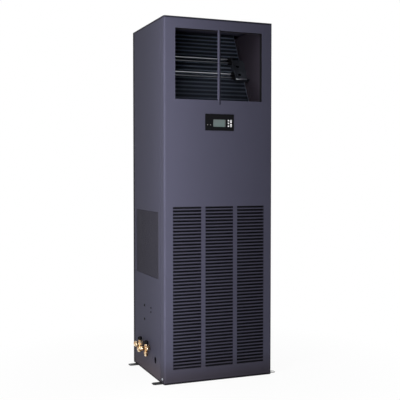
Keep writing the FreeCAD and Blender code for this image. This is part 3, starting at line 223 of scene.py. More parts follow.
class Nodes:
    """The nodes of a finish or of the room."""

    def __init__(self, tree):
        self.tree = tree

    def add(self, kind, settings=None, sockets=None, output=0):
        """Adds a node: its settings first, then the values or links of its sockets."""
        node = self.tree.nodes.new(kind)
        for name, value in (settings or {}).items():
            setattr(node, name, value)
        for socket, value in (sockets or {}).items():
            self.feed(node.inputs[socket], value)
        return Wire(self, node.outputs[output])

    def feed(self, socket, value):
        if isinstance(value, Wire):
            self.tree.links.new(value.socket, socket)
        else:
            socket.default_value = value

    def seen(self):
        """1 for what the camera sees, also in a reflection or through glass."""
        rays = self.add("ShaderNodeLightPath").socket.node.outputs
        direct, mirrored = Wire(self, rays["Is Camera Ray"]), Wire(self, rays["Is Glossy Ray"])
        return direct | mirrored | Wire(self, rays["Is Transmission Ray"])


class Finish(Nodes):
    """A procedural material. Constants go on the shader's own sockets, and fields are linked to them."""

    def __init__(self, name, **constants):
        self.material = bpy.data.materials.new(name)
        self.material.use_nodes = True
        super().__init__(self.material.node_tree)
        self.shader = self.tree.nodes["Principled BSDF"]
        for socket, value in constants.items():
            self.shader.inputs[socket.replace("_", " ").title().replace("Ior", "IOR")].default_value = value

    def drive(self, **fields):
        """Links fields to the shader's sockets."""
        for socket, wire in fields.items():
            self.feed(self.shader.inputs[socket.replace("_", " ").title()], wire)
        return self

    def place(self):
        """Where a point is at rest, in the part's own frame."""
        return self.add("ShaderNodeTexCoord", output="Object")

    def axes(self):
        split = self.add("ShaderNodeSeparateXYZ", None, {0: self.place()})
        return [Wire(self, socket) for socket in split.socket.node.outputs]

    def noise(self, scale, detail=2.0, stretch=None):
        spot = self.place()
        if stretch:
            spot = self.add("ShaderNodeVectorMath", {"operation": "MULTIPLY"}, {0: spot, 1: stretch})
        return self.add("ShaderNodeTexNoise", None, {"Vector": spot, "Scale": scale, "Detail": detail})

    def cells(self, scale, output=0):
        return self.add("ShaderNodeTexVoronoi", None, {"Vector": self.place(), "Scale": scale}, output)

    def blend(self, share, first, second):
        """A colour between two, by a share from 0 to 1."""
        settings = {"data_type": "RGBA", "clamp_factor": True}
        colours = [c if isinstance(c, Wire) else (*c, 1.0) for c in (first, second)]
        return self.add("ShaderNodeMix", settings, {0: share, 6: colours[0], 7: colours[1]}, 2)

    def relief(self, height, distance, strength=0.5):
        """The surface's normal with a raised texture."""
        sockets = {"Height": height, "Distance": distance, "Strength": strength}
        return self.add("ShaderNodeBump", None, sockets)


# Finishes

def scaled_tone(tone, share):
    """A tone made lighter or darker."""
    return tuple(channel * share for channel in tone)


def grained(name, tone, gloss, grain, lift=0.00015, drift=0.10, **constants):
    """A finish with a fine raised grain, the slow cloud over it, and its slightly drifting tone."""
    finish = Finish(name, **constants)
    cloud = finish.noise(6.0, 4.0)
    peel = finish.noise(grain, 3.0)
    finish.drive(roughness=gloss + (peel - 0.5) * 0.12 + (cloud - 0.5) * 0.08)
    finish.drive(normal=finish.relief(peel, lift))
    share = cloud * 0.7 + peel * 0.3
    return finish, cloud, finish.blend(share, scaled_tone(tone, 1 - drift), scaled_tone(tone, 1 + drift))


def coated(*sizes, **constants):
    """Paint or moulded plastic."""
    finish, _, tone = grained(*sizes, **constants)
    return finish.drive(base_color=tone).material


def cabinet_coat():
    """Satin paint, with painted shade on the slats, along the outer edges, on the bar's right half and on the
    opening's inner return, a painted highlight on the door's side edges, and a lower band that is darker on
    the front and browner on the sides.
    """
    finish, cloud, tone = grained("cabinet_paint", paint_tone, 0.55, 900.0, drift=0.05,
                                  specular_ior_level=0.03)
    x, y, z = finish.axes()
    outside = x.beyond(-left_side - side_skin)
    face = y < door_face + face_skin
    slats = x.within(slot_half) * z.between(slot_low, slot_high) * face
    strips = x.beyond(strip_inner) * x.within(strip_outer)
    # Painted shade on the slats between the grille's slots, less on the strips between the slot columns.
    tone = finish.blend(slats * (1 - strips * 0.7) * slat_shade, tone, black)
    # Painted highlight on the door's rounded front side edges, patchy by the cloud noise.
    edge_highlight = x.beyond(-left_side - edge_highlight_width) * (y < door_face + edge_highlight_width)
    tone = finish.blend(edge_highlight * (0.1 + cloud * 0.4), tone, scaled_tone(paint_tone, 1.5))
    # A band at the bottom: darker on the front, browner on the sides.
    low_band = ((low_band_top - z) / low_band_depth | 0.0) & 1.0
    sides = outside * (y > door_high.y)
    tone = finish.blend(low_band * (1 - sides) * 0.55, tone, front_low_tone)
    tone = finish.blend(low_band * sides * 0.75, tone, side_low_tone)
    # Painted shade along the top, bottom and rear edges of the sides and the front.
    rims = (z > cabinet_high - edge_shade_height) | (z < cabinet_low + edge_shade_height) | (y > rear_edge)
    # Painted shade on the right half of the bar in the opening.
    shade = x.between(bar_shade_start, bar_half) * (y < door_face + bar_shade_depth)
    shade = shade * z.between(opening_low - bar_shade_drop, opening_high)
    tone = finish.blend((rims * (outside | face) * 0.7) | (shade * 0.6), tone, black)
    # Painted shade: the opening's inner return is near-black.
    edge = x.beyond(bar_half) * x.within(opening_half) * z.between(opening_low, opening_high)
    edge = edge * y.between(door_face + opening_lip, door_face + opening_depth)
    return finish.drive(base_color=finish.blend(edge, tone, (0.010, 0.010, 0.011))).material


def metal(name, tone, gloss, grain, stretch=(1.0, 1.0, 1.0), drift=0.12, **constants):
    """Bare or plated metal with fine streaks and a few dull patches."""
    finish = Finish(name, metallic=1.0, **constants)
    streak = finish.noise(grain, 3.0, stretch)
    patch = finish.noise(28.0, 4.0)
    share = streak * 0.5 + patch * 0.5
    finish.drive(base_color=finish.blend(share, scaled_tone(tone, 1 - drift), scaled_tone(tone, 1 + drift)))
    finish.drive(roughness=gloss + (streak - 0.5) * 0.16 + (patch - 0.5) * 0.14)
    return finish.drive(normal=finish.relief(streak, 0.00004)).material


def turned_brass():
    """Bright turned brass with dark brown patches: tarnish, and painted dark reflections."""
    finish = Finish("brass", metallic=1.0)
    patch = finish.noise(95.0, 2.0)
    grain = finish.noise(420.0, 3.0)
    # The dark patches also stand in for dark reflections: painted reflection.
    bright = ((patch - 0.42) * 5.0 | 0.0) & 1.0
    finish.drive(base_color=finish.blend(bright, (0.38, 0.20, 0.08), (0.96, 0.83, 0.60)))
    return finish.drive(roughness=0.14 + grain * 0.12, normal=finish.relief(grain, 0.00003)).material


def spangled_zinc():
    """Hot-dipped sheet: crystals of slightly different brightness, with painted shade in the discharge space.
    """
    finish = Finish("spangled_zinc", metallic=1.0)
    tone = finish.add("ShaderNodeRGBToBW", None, {0: finish.cells(95.0, "Color")})
    clean = finish.blend(tone, (0.27, 0.29, 0.32), (0.41, 0.43, 0.47))
    # Painted shade: darker and rougher above the discharge line.
    dust_and_shade = (finish.axes()[2] > discharge_shade_line) * 0.8
    finish.drive(base_color=finish.blend(dust_and_shade, clean, (0.036, 0.044, 0.064)))
    return finish.drive(roughness=0.34 + tone * 0.16 + dust_and_shade * 0.2).material


def filter_cloth():
    """Matted fibres of the pleated filter."""
    finish = Finish("filter_cloth", specular_ior_level=0.05)
    fibre = finish.noise(900.0, 5.0, (1.0, 1.0, 0.25))
    dust_and_shade = finish.noise(9.0, 4.0)
    clean = finish.blend(fibre, (0.007, 0.007, 0.010), (0.018, 0.018, 0.024))
    finish.drive(base_color=finish.blend(dust_and_shade * 0.35, clean, (0.016, 0.015, 0.018)))
    return finish.drive(roughness=0.88 + fibre * 0.1, normal=finish.relief(fibre, 0.0006, 0.8)).material


def coil_height(finish):
    """How far up the leaning coil a point is."""
    _, y, z = finish.axes()
    return (z - coil_foot.z) * math.cos(coil_tilt) + (y - coil_foot.y) * math.sin(coil_tilt)


def heater_sheath():
    """Heater tubes: dark steel with a painted highlight along the upper leg of each hairpin."""
    finish = Finish("heater_steel", metallic=1.0)
    along = coil_height(finish)
    streak = finish.noise(200.0, 3.0, (0.1, 1.0, 1.0))
    bright = streak * 0.2
    # Painted highlight along each hairpin's upper leg.
    for leg in heater_along:
        crest = leg + heater_leg_pitch
        bright = bright + along.between(crest - glint_below, crest + glint_above) * 0.8
    finish.drive(base_color=finish.blend(bright, (0.050, 0.055, 0.066), (0.44, 0.46, 0.50)))
    return finish.drive(roughness=0.26 + streak * 0.1).material


def fin_aluminium():
    """Blue-black coated fins with painted highlights: bands at the tubes' pitch that grow brighter up the
    shaded coil, and lighter outermost fins.
    """
    finish = Finish("fin_aluminium", metallic=0.55)
    x, _, _ = finish.axes()
    along = coil_height(finish)
    highlight_band = (along * (2 * math.pi / tube_pitch)).sine() * 0.5 + 0.5
    streak = finish.noise(160.0, 3.0, (1.0, 0.2, 0.2))
    edge = x.beyond(coil_half - fin_end_highlight)
    # Painted highlight: the bands, raised towards the coil's top, which lies in shade, and the outermost
    # fins.
    share = (highlight_band * highlight_band * highlight_band * 0.9 + streak * 0.1) * (0.10 + along * 2.0) | edge * 0.7
    finish.drive(base_color=finish.blend(share, (0.010, 0.015, 0.030), (0.50, 0.57, 0.72)))
    return finish.drive(roughness=0.38 + streak * 0.2).material


def circuit_varnish():
    """Green board with paler copper tracks under its varnish."""
    finish = Finish("circuit_varnish")
    x, _, z = finish.axes()
    tracks = ((x * 260.0).fraction() < 0.3) | ((z * 210.0).fraction() < 0.25)
    worn = finish.noise(70.0, 2.0) > 0.48
    share = tracks * worn
    finish.drive(base_color=finish.blend(share, (0.008, 0.055, 0.026), (0.03, 0.13, 0.05)))
    return finish.drive(roughness=0.32 - share * 0.08, normal=finish.relief(share, 0.00005)).material


def display_glass():
    """Grey-green liquid crystal panel, a little lighter towards its lower right."""
    finish = Finish("display_glass", coat_weight=0.6, coat_roughness=0.12)
    low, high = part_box("lcd_screen")
    x, _, z = finish.axes()
    across = (x - low.x) / (high.x - low.x)
    down = (high.z - z) / (high.z - low.z)
    share = (across * 0.6 + down * 0.4) & 1.0
    dots = ((x * 1400.0).fraction() < 0.12) | ((z * 1400.0).fraction() < 0.12)
    lit = finish.blend(share, (0.086, 0.098, 0.100), (0.072, 0.124, 0.116))
    lit = finish.blend(dots * 0.25, lit, (0.06, 0.08, 0.08))
    lit = finish.blend(across.between(0.90, 0.935), lit, (0.03, 0.04, 0.04))
    ends = (across < 0.05) | (across > 0.935)
    finish.drive(base_color=finish.blend(ends, lit, (0.17, 0.18, 0.17)))
    return finish.drive(roughness=0.3 + dots * 0.1).material


def open_foam():
    """Black foam with open pores."""
    finish = Finish("open_foam")
    pore = finish.cells(700.0)
    finish.drive(base_color=finish.blend(pore, (0.012, 0.012, 0.013), (0.035, 0.035, 0.037)))
    return finish.drive(roughness=0.95 - pore * 0.05, normal=finish.relief(pore, 0.0008, 0.9)).material


finishes = {
    "cabinet_paint": cabinet_coat(),
    "bracket_paint": coated("bracket_paint", (0.016, 0.016, 0.018), 0.45, 700.0),
    "vent_screen": coated("vent_screen", (0.046, 0.044, 0.062), 0.6, 900.0, specular_ior_level=0.08),
    "zinc_steel": metal("zinc_steel", (0.58, 0.61, 0.66), 0.32, 420.0),
    "galvanised": spangled_zinc(),
    "dark_sheet": coated("dark_sheet", (0.027, 0.022, 0.031), 0.5, 600.0, specular_ior_level=0.3),
    "foam": open_foam(),
    "rubber": coated("rubber", (0.014, 0.014, 0.015), 0.75, 500.0, 0.0003),
    "fin_stock": fin_aluminium(),
    "copper": metal("copper", (0.62, 0.27, 0.15), 0.30, 90.0, (1.0, 1.0, 0.1), 0.2),
    "brass": turned_brass(),
    "heater_steel": heater_sheath(),
    "compressor_paint": coated("compressor_paint", (0.012, 0.012, 0.014), 0.28, 300.0, 0.0003),
    "wheel_steel": metal("wheel_steel", (0.48, 0.50, 0.52), 0.38, 300.0, (0.1, 1.0, 1.0)),
    "motor_metal": metal("motor_metal", (0.36, 0.37, 0.38), 0.42, 500.0),
    "filter_media": filter_cloth(),
    "bezel_plastic": coated("bezel_plastic", (0.005, 0.005, 0.006), 0.4, 1500.0, 0.0001,
                            specular_ior_level=0.05),
    "screen_glass": display_glass(),
    "circuit_board": circuit_varnish(),
    "key_plastic": coated("key_plastic", (0.78, 0.78, 0.80), 0.4, 1200.0, 0.00006, 0.03),
    "lamp_plastic": coated("lamp_plastic", (0.26, 0.25, 0.25), 0.18, 900.0, 0.00003, 0.05, coat_weight=0.5),
    "switchgear": coated("switchgear", (0.42, 0.43, 0.43), 0.45, 1100.0, 0.0001, 0.05),
    "lever_plastic": coated("lever_plastic", (0.020, 0.021, 0.024), 0.38, 1100.0, 0.0001),
}
slot_of = {row["node"]: row["material_slot"] for row in frame["record"]["subparts"]}


def dress_solids():
    """Gives every solid the finish of its slot."""
    for node, solid in frame["nodes"].items():
        solid.data.materials.clear()
        solid.data.materials.append(finishes[slot_of[node]])


# Making pieces

def ring(centre, axis, radius, sides):
    """Points on a circle about a centre, square to an axis."""
    axis = Vector(axis).normalized()
    side = Vector((1, 0, 0)) if abs(axis.z) > 0.5 else axis.cross(Vector((0, 0, 1))).normalized()
    other = axis.cross(side)
    turns = [2 * math.pi * (i + 0.5) / sides for i in range(sides)]
    return [Vector(centre) + side * (radius * math.cos(a)) + other * (radius * math.sin(a)) for a in turns]


def hexagon(centre, axis, flats, limit, sides):
    """Points on a hexagon whose corners are turned down to a limit."""
    spots = []
    for i, spot in enumerate(ring(centre, axis, 1.0, sides)):
        turn = (2 * math.pi * (i + 0.5) / sides) % (math.pi / 3) - math.pi / 6
        spots.append(centre + (spot - centre) * min(flats / 2 / math.cos(turn), limit))
    return spots


def rounded(low, high, y, radius, inset=0.0, steps=6):
    """The outline of a box seen from the front, set in from its edges, with round corners."""
    reach = radius + inset
    left, right, foot, head = low.x + reach, high.x - reach, low.z + reach, high.z - reach
    points = []
    for quarter, (x, z) in enumerate(((right, head), (left, head), (left, foot), (right, foot))):
        for step in range(steps + 1):
            turn = math.pi / 2 * (quarter + step / steps)
            points.append((x + radius * math.cos(turn), y, z + radius * math.sin(turn)))
    return points


def rounded_route(points, bend, steps):
    """The points of a route whose corners are turned in a smooth arc."""
    corners = [Vector(p) for p in points]
    path = [corners[0]]
    nearest = 1e-5
    for before, corner, after in zip(corners, corners[1:], corners[2:]):
        back = (before - corner).normalized()
        ahead = (after - corner).normalized()
        half = (math.pi - back.angle(ahead)) / 2
        middle = corner + (back + ahead).normalized() * (bend / math.cos(half))
        first = corner + back * (bend * math.tan(half)) - middle
        last = corner + ahead * (bend * math.tan(half)) - middle
        sweep = (last - first * math.cos(2 * half)) / math.sin(2 * half)
        for step in range(steps + 1):
            turn = 2 * half * step / steps
            spot = middle + first * math.cos(turn) + sweep * math.sin(turn)
            if (spot - path[-1]).length > nearest:
                path.append(spot)
    if (corners[-1] - path[-1]).length > nearest:
        path.append(corners[-1])
    return path


class Piece:
    """A piece under construction: closed forms gathered in one mesh."""

    def __init__(self):
        self.mesh = bmesh.new()

    def skin(self, rings, hollow=False):
        """A form through rings that have equally many points, capped at its ends or closed on itself."""
        loops = [[self.mesh.verts.new(p) for p in points] for points in rings]
        for lower, upper in zip(loops, loops[1:] + loops[:1] if hollow else loops[1:]):
            for i in range(len(lower)):
                self.mesh.faces.new((lower[i - 1], lower[i], upper[i], upper[i - 1]))
        if not hollow:
            self.mesh.faces.new(loops[0])
            self.mesh.faces.new(list(reversed(loops[-1])))
        return self

    def turned(self, start, axis, profile, sides=32, hollow=False):
        """A turned form: the profile gives how far along the axis each radius is."""
        way = Vector(axis).normalized()
        rings = [ring(Vector(start) + way * along, axis, radius, sides) for along, radius in profile]
        return self.skin(rings, hollow)

    def rod(self, start, axis, radius, length, sides):
        """A plain round bar."""
        return self.turned(start, axis, ((0.0, radius), (length, radius)), sides)

    def washer(self, start, axis, outer, inner, length, sides=32):
        """A ring with a hole, drawn out along its axis."""
        ends = [(0.0, outer), (length, outer), (length, inner), (0.0, inner)]
        return self.turned(start, axis, ends, sides, True)

    def nut(self, start, axis, flats, length, bore=0.0, sides=48):
        """A hexagon with turned-off corners, bored where a radius is given."""
        way = Vector(axis).normalized()
        spots = [Vector(start) + way * along for along in (0.0, 0.1 * flats, length - 0.1 * flats, length)]
        limits = (flats / 2, flats, flats, flats / 2)
        rings = [hexagon(spot, axis, flats, limit, sides) for spot, limit in zip(spots, limits)]
        if bore:
            rings += [ring(spot, axis, bore, sides) for spot in (spots[-1], spots[0])]
        return self.skin(rings, bool(bore))

    def thread(self, start, axis, radius, length, pitch):
        """A screw thread drawn as close rings."""
        profile = []
        for i in range(int(length / pitch)):
            profile += [(i * pitch, 0.9 * radius), ((i + 0.5) * pitch, radius)]
        return self.turned(start, axis, profile + [(length, 0.9 * radius)])

    def screw(self, start, axis, radius, height, sides=24):
        """A domed screw head with a hexagonal socket."""
        start, way = Vector(start), Vector(axis).normalized() * height
        dome = ((0.0, 1.0), (0.45, 1.0), (0.8, 0.86), (1.0, 0.62))
        rings = [ring(start + way * along, axis, radius * share, sides) for along, share in dome]
        rings += [hexagon(start + way * along, axis, 0.9 * radius, radius, sides) for along in (1.0, 0.35)]
        return self.skin(rings)

    def plate(self, outlines, draw):
        """A flat plate drawn out by a vector: the first outline is its edge, and the others are holes."""
        part = bmesh.new()
        for outline in outlines:
            spots = [part.verts.new(p) for p in outline]
            for i in range(len(spots)):
                part.edges.new((spots[i - 1], spots[i]))
        bmesh.ops.triangle_fill(part, edges=part.edges[:], use_beauty=True)
        rims = [edge.verts[:] for edge in part.edges if edge.is_boundary]
        flat = [face.verts[:] for face in part.faces]
        far = {spot: part.verts.new(spot.co + Vector(draw)) for spot in part.verts[:]}
        for corners in flat:
            part.faces.new([far[spot] for spot in reversed(corners)])
        for a, b in rims:
            part.faces.new((a, b, far[b], far[a]))
        return self.take(part)

    def tube(self, points, radius, bend, sides=14, steps=8):
        """A round bar along a route with rounded turns."""
        path = rounded_route(points, bend, steps)
        ways = [(b - a).normalized() for a, b in zip(path, path[1:])]
        first = Vector(points[1]) - Vector(points[0])
        last = Vector(points[-1]) - Vector(points[-2])
        squares = [first] + [a + b for a, b in zip(ways, ways[1:])] + [last]
        loops = [ring(path[0], ways[0], radius, sides)]
        for spot, way, across in zip(path, ways[:1] + ways, squares):
            loops.append([p + way * ((spot - p).dot(across) / way.dot(across)) for p in loops[-1]])
        return self.skin(loops[1:])

    def prism(self, outline, draw):
        """An outline of points drawn out by a vector."""
        points = [Vector(p) for p in outline]
        return self.skin([points, [p + Vector(draw) for p in points]])

    def block(self, low, high, edge=0.0):
        """A box whose edges are rounded."""
        part = bmesh.new()
        low, high = Vector(low), Vector(high)
        size = Matrix.Diagonal((*(high - low), 1.0))
        bmesh.ops.create_cube(part, size=1.0, matrix=Matrix.Translation((low + high) / 2) @ size)
        if edge:
            bmesh.ops.bevel(part, geom=part.edges[:], offset=edge, segments=2, affect="EDGES", profile=0.5)
        return self.take(part)

    def border(self, low, high, across, rim, first=None, edge=0.0):
        """Four bars round an upright rectangle along a level axis. The first side bar may be wider."""
        low, high = Vector(low), Vector(high)
        foot, head = high.copy(), low.copy()
        foot.z, head.z = low.z + rim, high.z - rim
        self.block(low, foot, edge).block(head, high, edge)
        inner_low, inner_high = low.copy(), high.copy()
        inner_low.z, inner_high.z = foot.z, head.z
        near, far = inner_high.copy(), inner_low.copy()
        near[across] = low[across] + (first or rim)
        far[across] = high[across] - rim
        return self.block(inner_low, near, edge).block(far, inner_high, edge)

    def take(self, part):
        """Adds another mesh under construction, and lets go of it."""
        spare = bpy.data.meshes.new("spare")
        part.to_mesh(spare)
        part.free()
        self.mesh.from_mesh(spare)
        bpy.data.meshes.remove(spare)
        return self

    def lean(self):
        """Moves a form given by depth and height in the coil to where the leaning coil stands."""
        self.mesh.transform(leaning)
        return self

    def made(self, name, material):
        """Turns the piece into an object of the scene."""
        mesh = bpy.data.meshes.new(name)
        self.mesh.to_mesh(mesh)
        self.mesh.free()
        mesh.materials.append(material)
        piece = bpy.data.objects.new(name, mesh)
        bpy.context.scene.collection.objects.link(piece)
        return piece

    def done(self, name, body, slot, *nodes, sharp=35.0):
        """Closes the piece, gives it its finish and lets it ride on a body in place of solids."""
        bmesh.ops.recalc_face_normals(self.mesh, faces=self.mesh.faces[:])
        for face in self.mesh.faces:
            face.smooth = True
        for edge in self.mesh.edges:
            edge.smooth = edge.calc_face_angle(0.0) < math.radians(sharp)
        piece = self.made(name, finishes[slot])
        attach(piece, body)
        if nodes:
            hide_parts(*nodes)
        return piece


# Cabinet

def vent_mesh():
    """Crossed wires in a flat rim, in place of the vent's plain screen."""
    piece = Piece().border(vent_low, vent_high, 1, vent_rim, vent_front_rim)
    x0, x1 = vent_low.x, vent_high.x
    middle = x0 + (x1 - x0) / 2
    front, back = vent_low.y + vent_front_rim, vent_high.y - vent_rim
    foot, head = vent_low.z + vent_rim, vent_high.z - vent_rim
    for i in range(1, int((head - foot) / wire_pitch)):
        z = foot + i * wire_pitch
        piece.block((x0, front, z), (middle, back, z + wire_width))
    for i in range(1, int((back - front) / wire_pitch)):
        y = front + i * wire_pitch
        piece.block((middle, y, foot), (x1, y + wire_width, head))
    piece.done("vent_wire_mesh", "cabinet", "vent_screen", "side_vent_screen")


def opening_bar():
    """The bar in the discharge opening with a round nose, and its tongue on the door below."""
    low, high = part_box("mullion")
    half = (high.x - low.x) / 2
    turns = [math.pi * i / 16 for i in range(17)]
    bow = [(half * math.cos(a), low.y + bar_nose * (1 - math.sin(a))) for a in turns]
    bar = Piece()
    section = [(half, high.y)] + bow + [(-half, high.y)]
    bar.prism([(x, y, opening_sill) for x, y in section], (0, 0, high.z - opening_sill))
    tongue = [(x, y) for x, y in bow if y < door_face]
    tongue = [(tongue[0][0], door_face)] + tongue + [(tongue[-1][0], door_face)]
    bar.prism([(x, y, low.z) for x, y in tongue], (0, 0, opening_sill - low.z))
    bar.done("opening_bar", "door", "cabinet_paint", "mullion")


def foot_plates():
    """Slotted plates under the cabinet, eased down a little outside it so that the open door swings clear."""
    piece = Piece()
    low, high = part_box("foot_brackets")
    tip, hold = high.x, high.x - foot_length
    corner, near, wide = tip - foot_corner, foot_half - foot_corner, foot_half
    edge = [(hold, -wide), (corner, -wide), (tip, -near), (tip, near), (corner, wide), (hold, wide)]
    turns = [math.pi * (i / 10 - 0.5) for i in range(11)]
    slot = [(bolt_reach + end * (bolt_run + bolt_radius * math.cos(a)), end * bolt_radius * math.sin(a))
            for end in (1, -1) for a in turns]
    for side in (-1, 1):
        inner, outer = sorted((side * hold, side * -left_side))
        for y in (low.y + foot_half, high.y - foot_half):
            outlines = [[(side * x, y + across, 0.0) for x, across in shape] for shape in (edge, slot)]
            piece.plate(outlines, (0, 0, high.z - foot_ease))
            piece.block((inner, y - wide, foot_step), (outer, y + wide, high.z))
    piece.done("foot_plates", "cabinet", "bracket_paint", "foot_brackets")


# Cooling coil and heaters

def hairpin(end, crown, y, low, high):
    """A route out to a crown and back."""
    return [(end, y, low), (crown, y, low), (crown, y, high), (end, y, high)]


def coil_stack():
    """Rippled fins at a fine pitch, in place of the coarse fin pack."""
    piece = Piece()
    count = int(2 * coil_half / fin_pitch)
    steps = int(round(2 * coil_reach / tube_pitch))
    edge = [(i * coil_reach / steps, fin_ripple * (i % 2)) for i in range(steps + 1)]
    outline = edge + [(along, coil_depth - dip) for along, dip in reversed(edge)]
    for i in range(count):
        x = -coil_half + (i + 0.5) * 2 * coil_half / count - fin_gauge / 2
        piece.prism([(x, y, along) for along, y in outline], (fin_gauge, 0, 0))
    piece.lean().done("coil_fin_stack", "cabinet", "fin_stock", "coil_fins")


def coil_tubes():
    """The tubes that run through the fins, sleeved by the fins' collars."""
    piece = Piece()
    spread = coil_depth / tube_rows
    for row in range(tube_rows):
        for i in range(int(coil_reach / tube_pitch)):
            along = (i + 0.5 + 0.25 * (row % 2)) * tube_pitch
            piece.rod((-coil_half, (row + 0.5) * spread, along), (1, 0, 0), tube_radius, 2 * coil_half, 10)
    piece.lean().done("coil_tubes", "cabinet", "fin_stock")


def heaters():
    """Two bright hairpin heaters in front of the coil."""
    piece = Piece()
    bend = heater_leg_pitch / 2
    end = heater_right + heater_tail
    crown = -heater_left - heater_run - bend
    for along in heater_along:
        route = hairpin(end, crown, -heater_standoff, along, along + heater_leg_pitch)
        piece.tube(route, heater_radius, bend, 20, 10)
    piece.lean().done("heater_hairpins", "cabinet", "heater_steel", "heater_tubes")


def heater_mountings():
    """Black bushes where the heaters' legs meet their brackets, and the brackets' turned-down front hems."""
    bushes, hems = Piece(), Piece()
    profile = [(0.0, bush_radius - bush_round), (bush_round, bush_radius), (bush_length, bush_radius)]
    low = heater_along[0] - bracket_margin
    for side, leg in ((1, heater_right), (-1, heater_left)):
        for along in heater_along:
            for height in (along, along + heater_leg_pitch):
                start = (side * (leg - bush_length), -heater_standoff, height)
                bushes.turned(start, (side, 0, 0), profile, 20)
        ends = sorted((side * leg, side * (bracket_edge - hem_short)))
        front = (ends[0], -bracket_front - hem_gauge / 2, low - hem_drop)
        back = (ends[1], -bracket_front + hem_gauge / 2, low + sheet + hem_gauge / 4)
        hems.block(front, back, hem_gauge / 3)
    bushes.lean().done("heater_bushes", "cabinet", "bezel_plastic")
    hems.lean().done("bracket_hems", "cabinet", "zinc_steel")


def return_bends():
    """The smooth half-round tubes at the coil's ends."""
    piece = Piece()
    bend = tube_pitch / 2
    y = coil_depth / tube_rows / 2
    for side, first in ((1, 0), (-1, 1)):
        end = side * (coil_half + sheet)
        crown = end + side * bend
        for lower in range(first, int(coil_length / tube_pitch) - 1, 2):
            low = (lower + 0.5) * tube_pitch
            piece.tube(hairpin(end, crown, y, low, low + tube_pitch), tube_radius, bend, 12, 6)
    piece.lean().done("return_bends", "cabinet", "copper", "coil_return_bends")


# Service valves

def service_valves():
    """Two brass valves: turned bodies with threaded ports, caps over them and flare nuts."""
    caps, nuts, glands, knobs = Piece(), Piece(), Piece(), Piece()
    knob = ((0.0, 0.0100), (0.0015, 0.0118), (0.0130, 0.0118), (0.0165, 0.0102), (0.0185, 0.0060))
    barrel = ((0.0, 0.0090), (0.002, 0.0115), (0.016, 0.0120), (0.0205, 0.0120), (0.0215, 0.0105),
              (0.0235, 0.0105), (0.0245, 0.0120), (0.0430, 0.0120), (0.0450, 0.0112), (0.0465, 0.0095))
    stem_dome = ((0.0140, 0.45), (0.0185, 0.44), (0.0208, 0.36), (0.0220, 0.20))
    test_dome = ((0.0080, 0.0057), (0.0105, 0.0054), (0.0117, 0.0038), (0.0120, 0.0015))
    gland_flats, gland_bore = 0.027, 0.0121
    port_length, port_thread = 0.0285, 0.0014
    test_radius, test_length, test_thread = 0.0045, 0.0255, 0.0011
    neck_radius, neck_length, neck_rise, knob_rise = 0.0085, 0.0180, 0.004, 0.020
    stem_cap, test_flats, test_cap, test_reach = 0.015, 0.013, 0.0085, 0.020
    nut_drop, nut_length, nut_slack, collar_drop = 0.018, 0.017, 0.0001, 0.0345
    outward, forward, up, down = (-1, 0, 0), (0, -1, 0), (0, 0, 1), (0, 0, -1)
    for node, y, flats, port, bore in valves:
        middle = (valve_x, y, valve_z)
        body = Piece()
        body.turned((valve_tail, y, valve_z), outward, barrel)
        body.thread(middle, down, port, port_length, port_thread)
        body.thread(middle, forward, test_radius, test_length, test_thread)
        body.rod((valve_x, y, valve_z + neck_rise), up, neck_radius, neck_length, 32)
        body.done(node + "_body", "cabinet", "brass", node)
        # The gland rings are dark to read as the shaded holes around the valves: painted shade.
        glands.nut((valve_seat, y, valve_z), outward, gland_flats, sheet, gland_bore)
        knobs.turned((valve_x, y, valve_z + knob_rise), up, knob)
        start = (valve_face, y, valve_z)
        caps.nut(start, outward, flats, stem_cap)
        caps.turned(start, outward, [(along, share * flats) for along, share in stem_dome])
        start = (valve_x, y - test_reach, valve_z)
        caps.nut(start, forward, test_flats, test_cap)
        caps.turned(start, forward, test_dome)
        nuts.nut((valve_x, y, valve_z - nut_drop), down, flats, nut_length, port + nut_slack)
        collar = ((0.0, 0.45 * flats), (0.0080, 0.43 * flats), (0.0095, 0.38 * flats),
                  (0.0095, bore), (0.0, bore))
        nuts.turned((valve_x, y, valve_z - collar_drop), down, collar, 32, True)
    caps.done("stem_and_test_caps", "cabinet", "brass", "valve_caps")
    nuts.done("flare_nut_pair", "cabinet", "brass", "flare_nuts")
    glands.done("valve_gland_rings", "cabinet", "dark_sheet")
    knobs.done("valve_dust_caps", "cabinet", "bezel_plastic")


# Display unit

def glyphs():
    """The plain signs on the five keys, as outlines about a key's middle."""
    star = []
    for i in range(8):
        turn, radius = math.pi / 2 + 2 * math.pi * i / 8, (0.0021, 0.0006)[i % 2]
        star.append((radius * math.cos(turn), radius * math.sin(turn)))
    return {
        "key_up": [(-0.0022, -0.0014), (0.0022, -0.0014), (0.0, 0.0018)],
        "key_down": [(-0.0022, 0.0014), (0.0, -0.0018), (0.0022, 0.0014)],
        "key_enter": [(-0.0022, -0.0005), (-0.0008, -0.0018), (-0.0008, -0.0009),
                      (0.0022, -0.0009), (0.0022, 0.0016), (0.0014, 0.0016),
                      (0.0014, -0.0001), (-0.0008, -0.0001), (-0.0008, 0.0008)],
        "key_power": [(-0.0004, -0.0020), (0.0004, -0.0020), (0.0004, 0.0020), (-0.0004, 0.0020)],
        "key_escape": star,
    }


def display_keys():
    """Pillow-shaped keys, each with its sign."""
    for node, sign in glyphs().items():
        low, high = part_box(node)
        face = low.y + key_sink
        bands = [(high.y, 0.0)] + [(face + depth, inset) for depth, inset in key_pillow]
        loops = [rounded(low, high, y, key_corner - inset, key_edge + inset) for y, inset in bands]
        Piece().skin(loops).done(node + "_cap", node, "key_plastic", node, sharp=60.0)
        middle = (low + high) / 2
        outline = [(middle.x + x, low.y, middle.z + z) for x, z in sign]
        Piece().prism(outline, (0, sign_depth, 0)).done(node + "_sign", node, "lever_plastic")


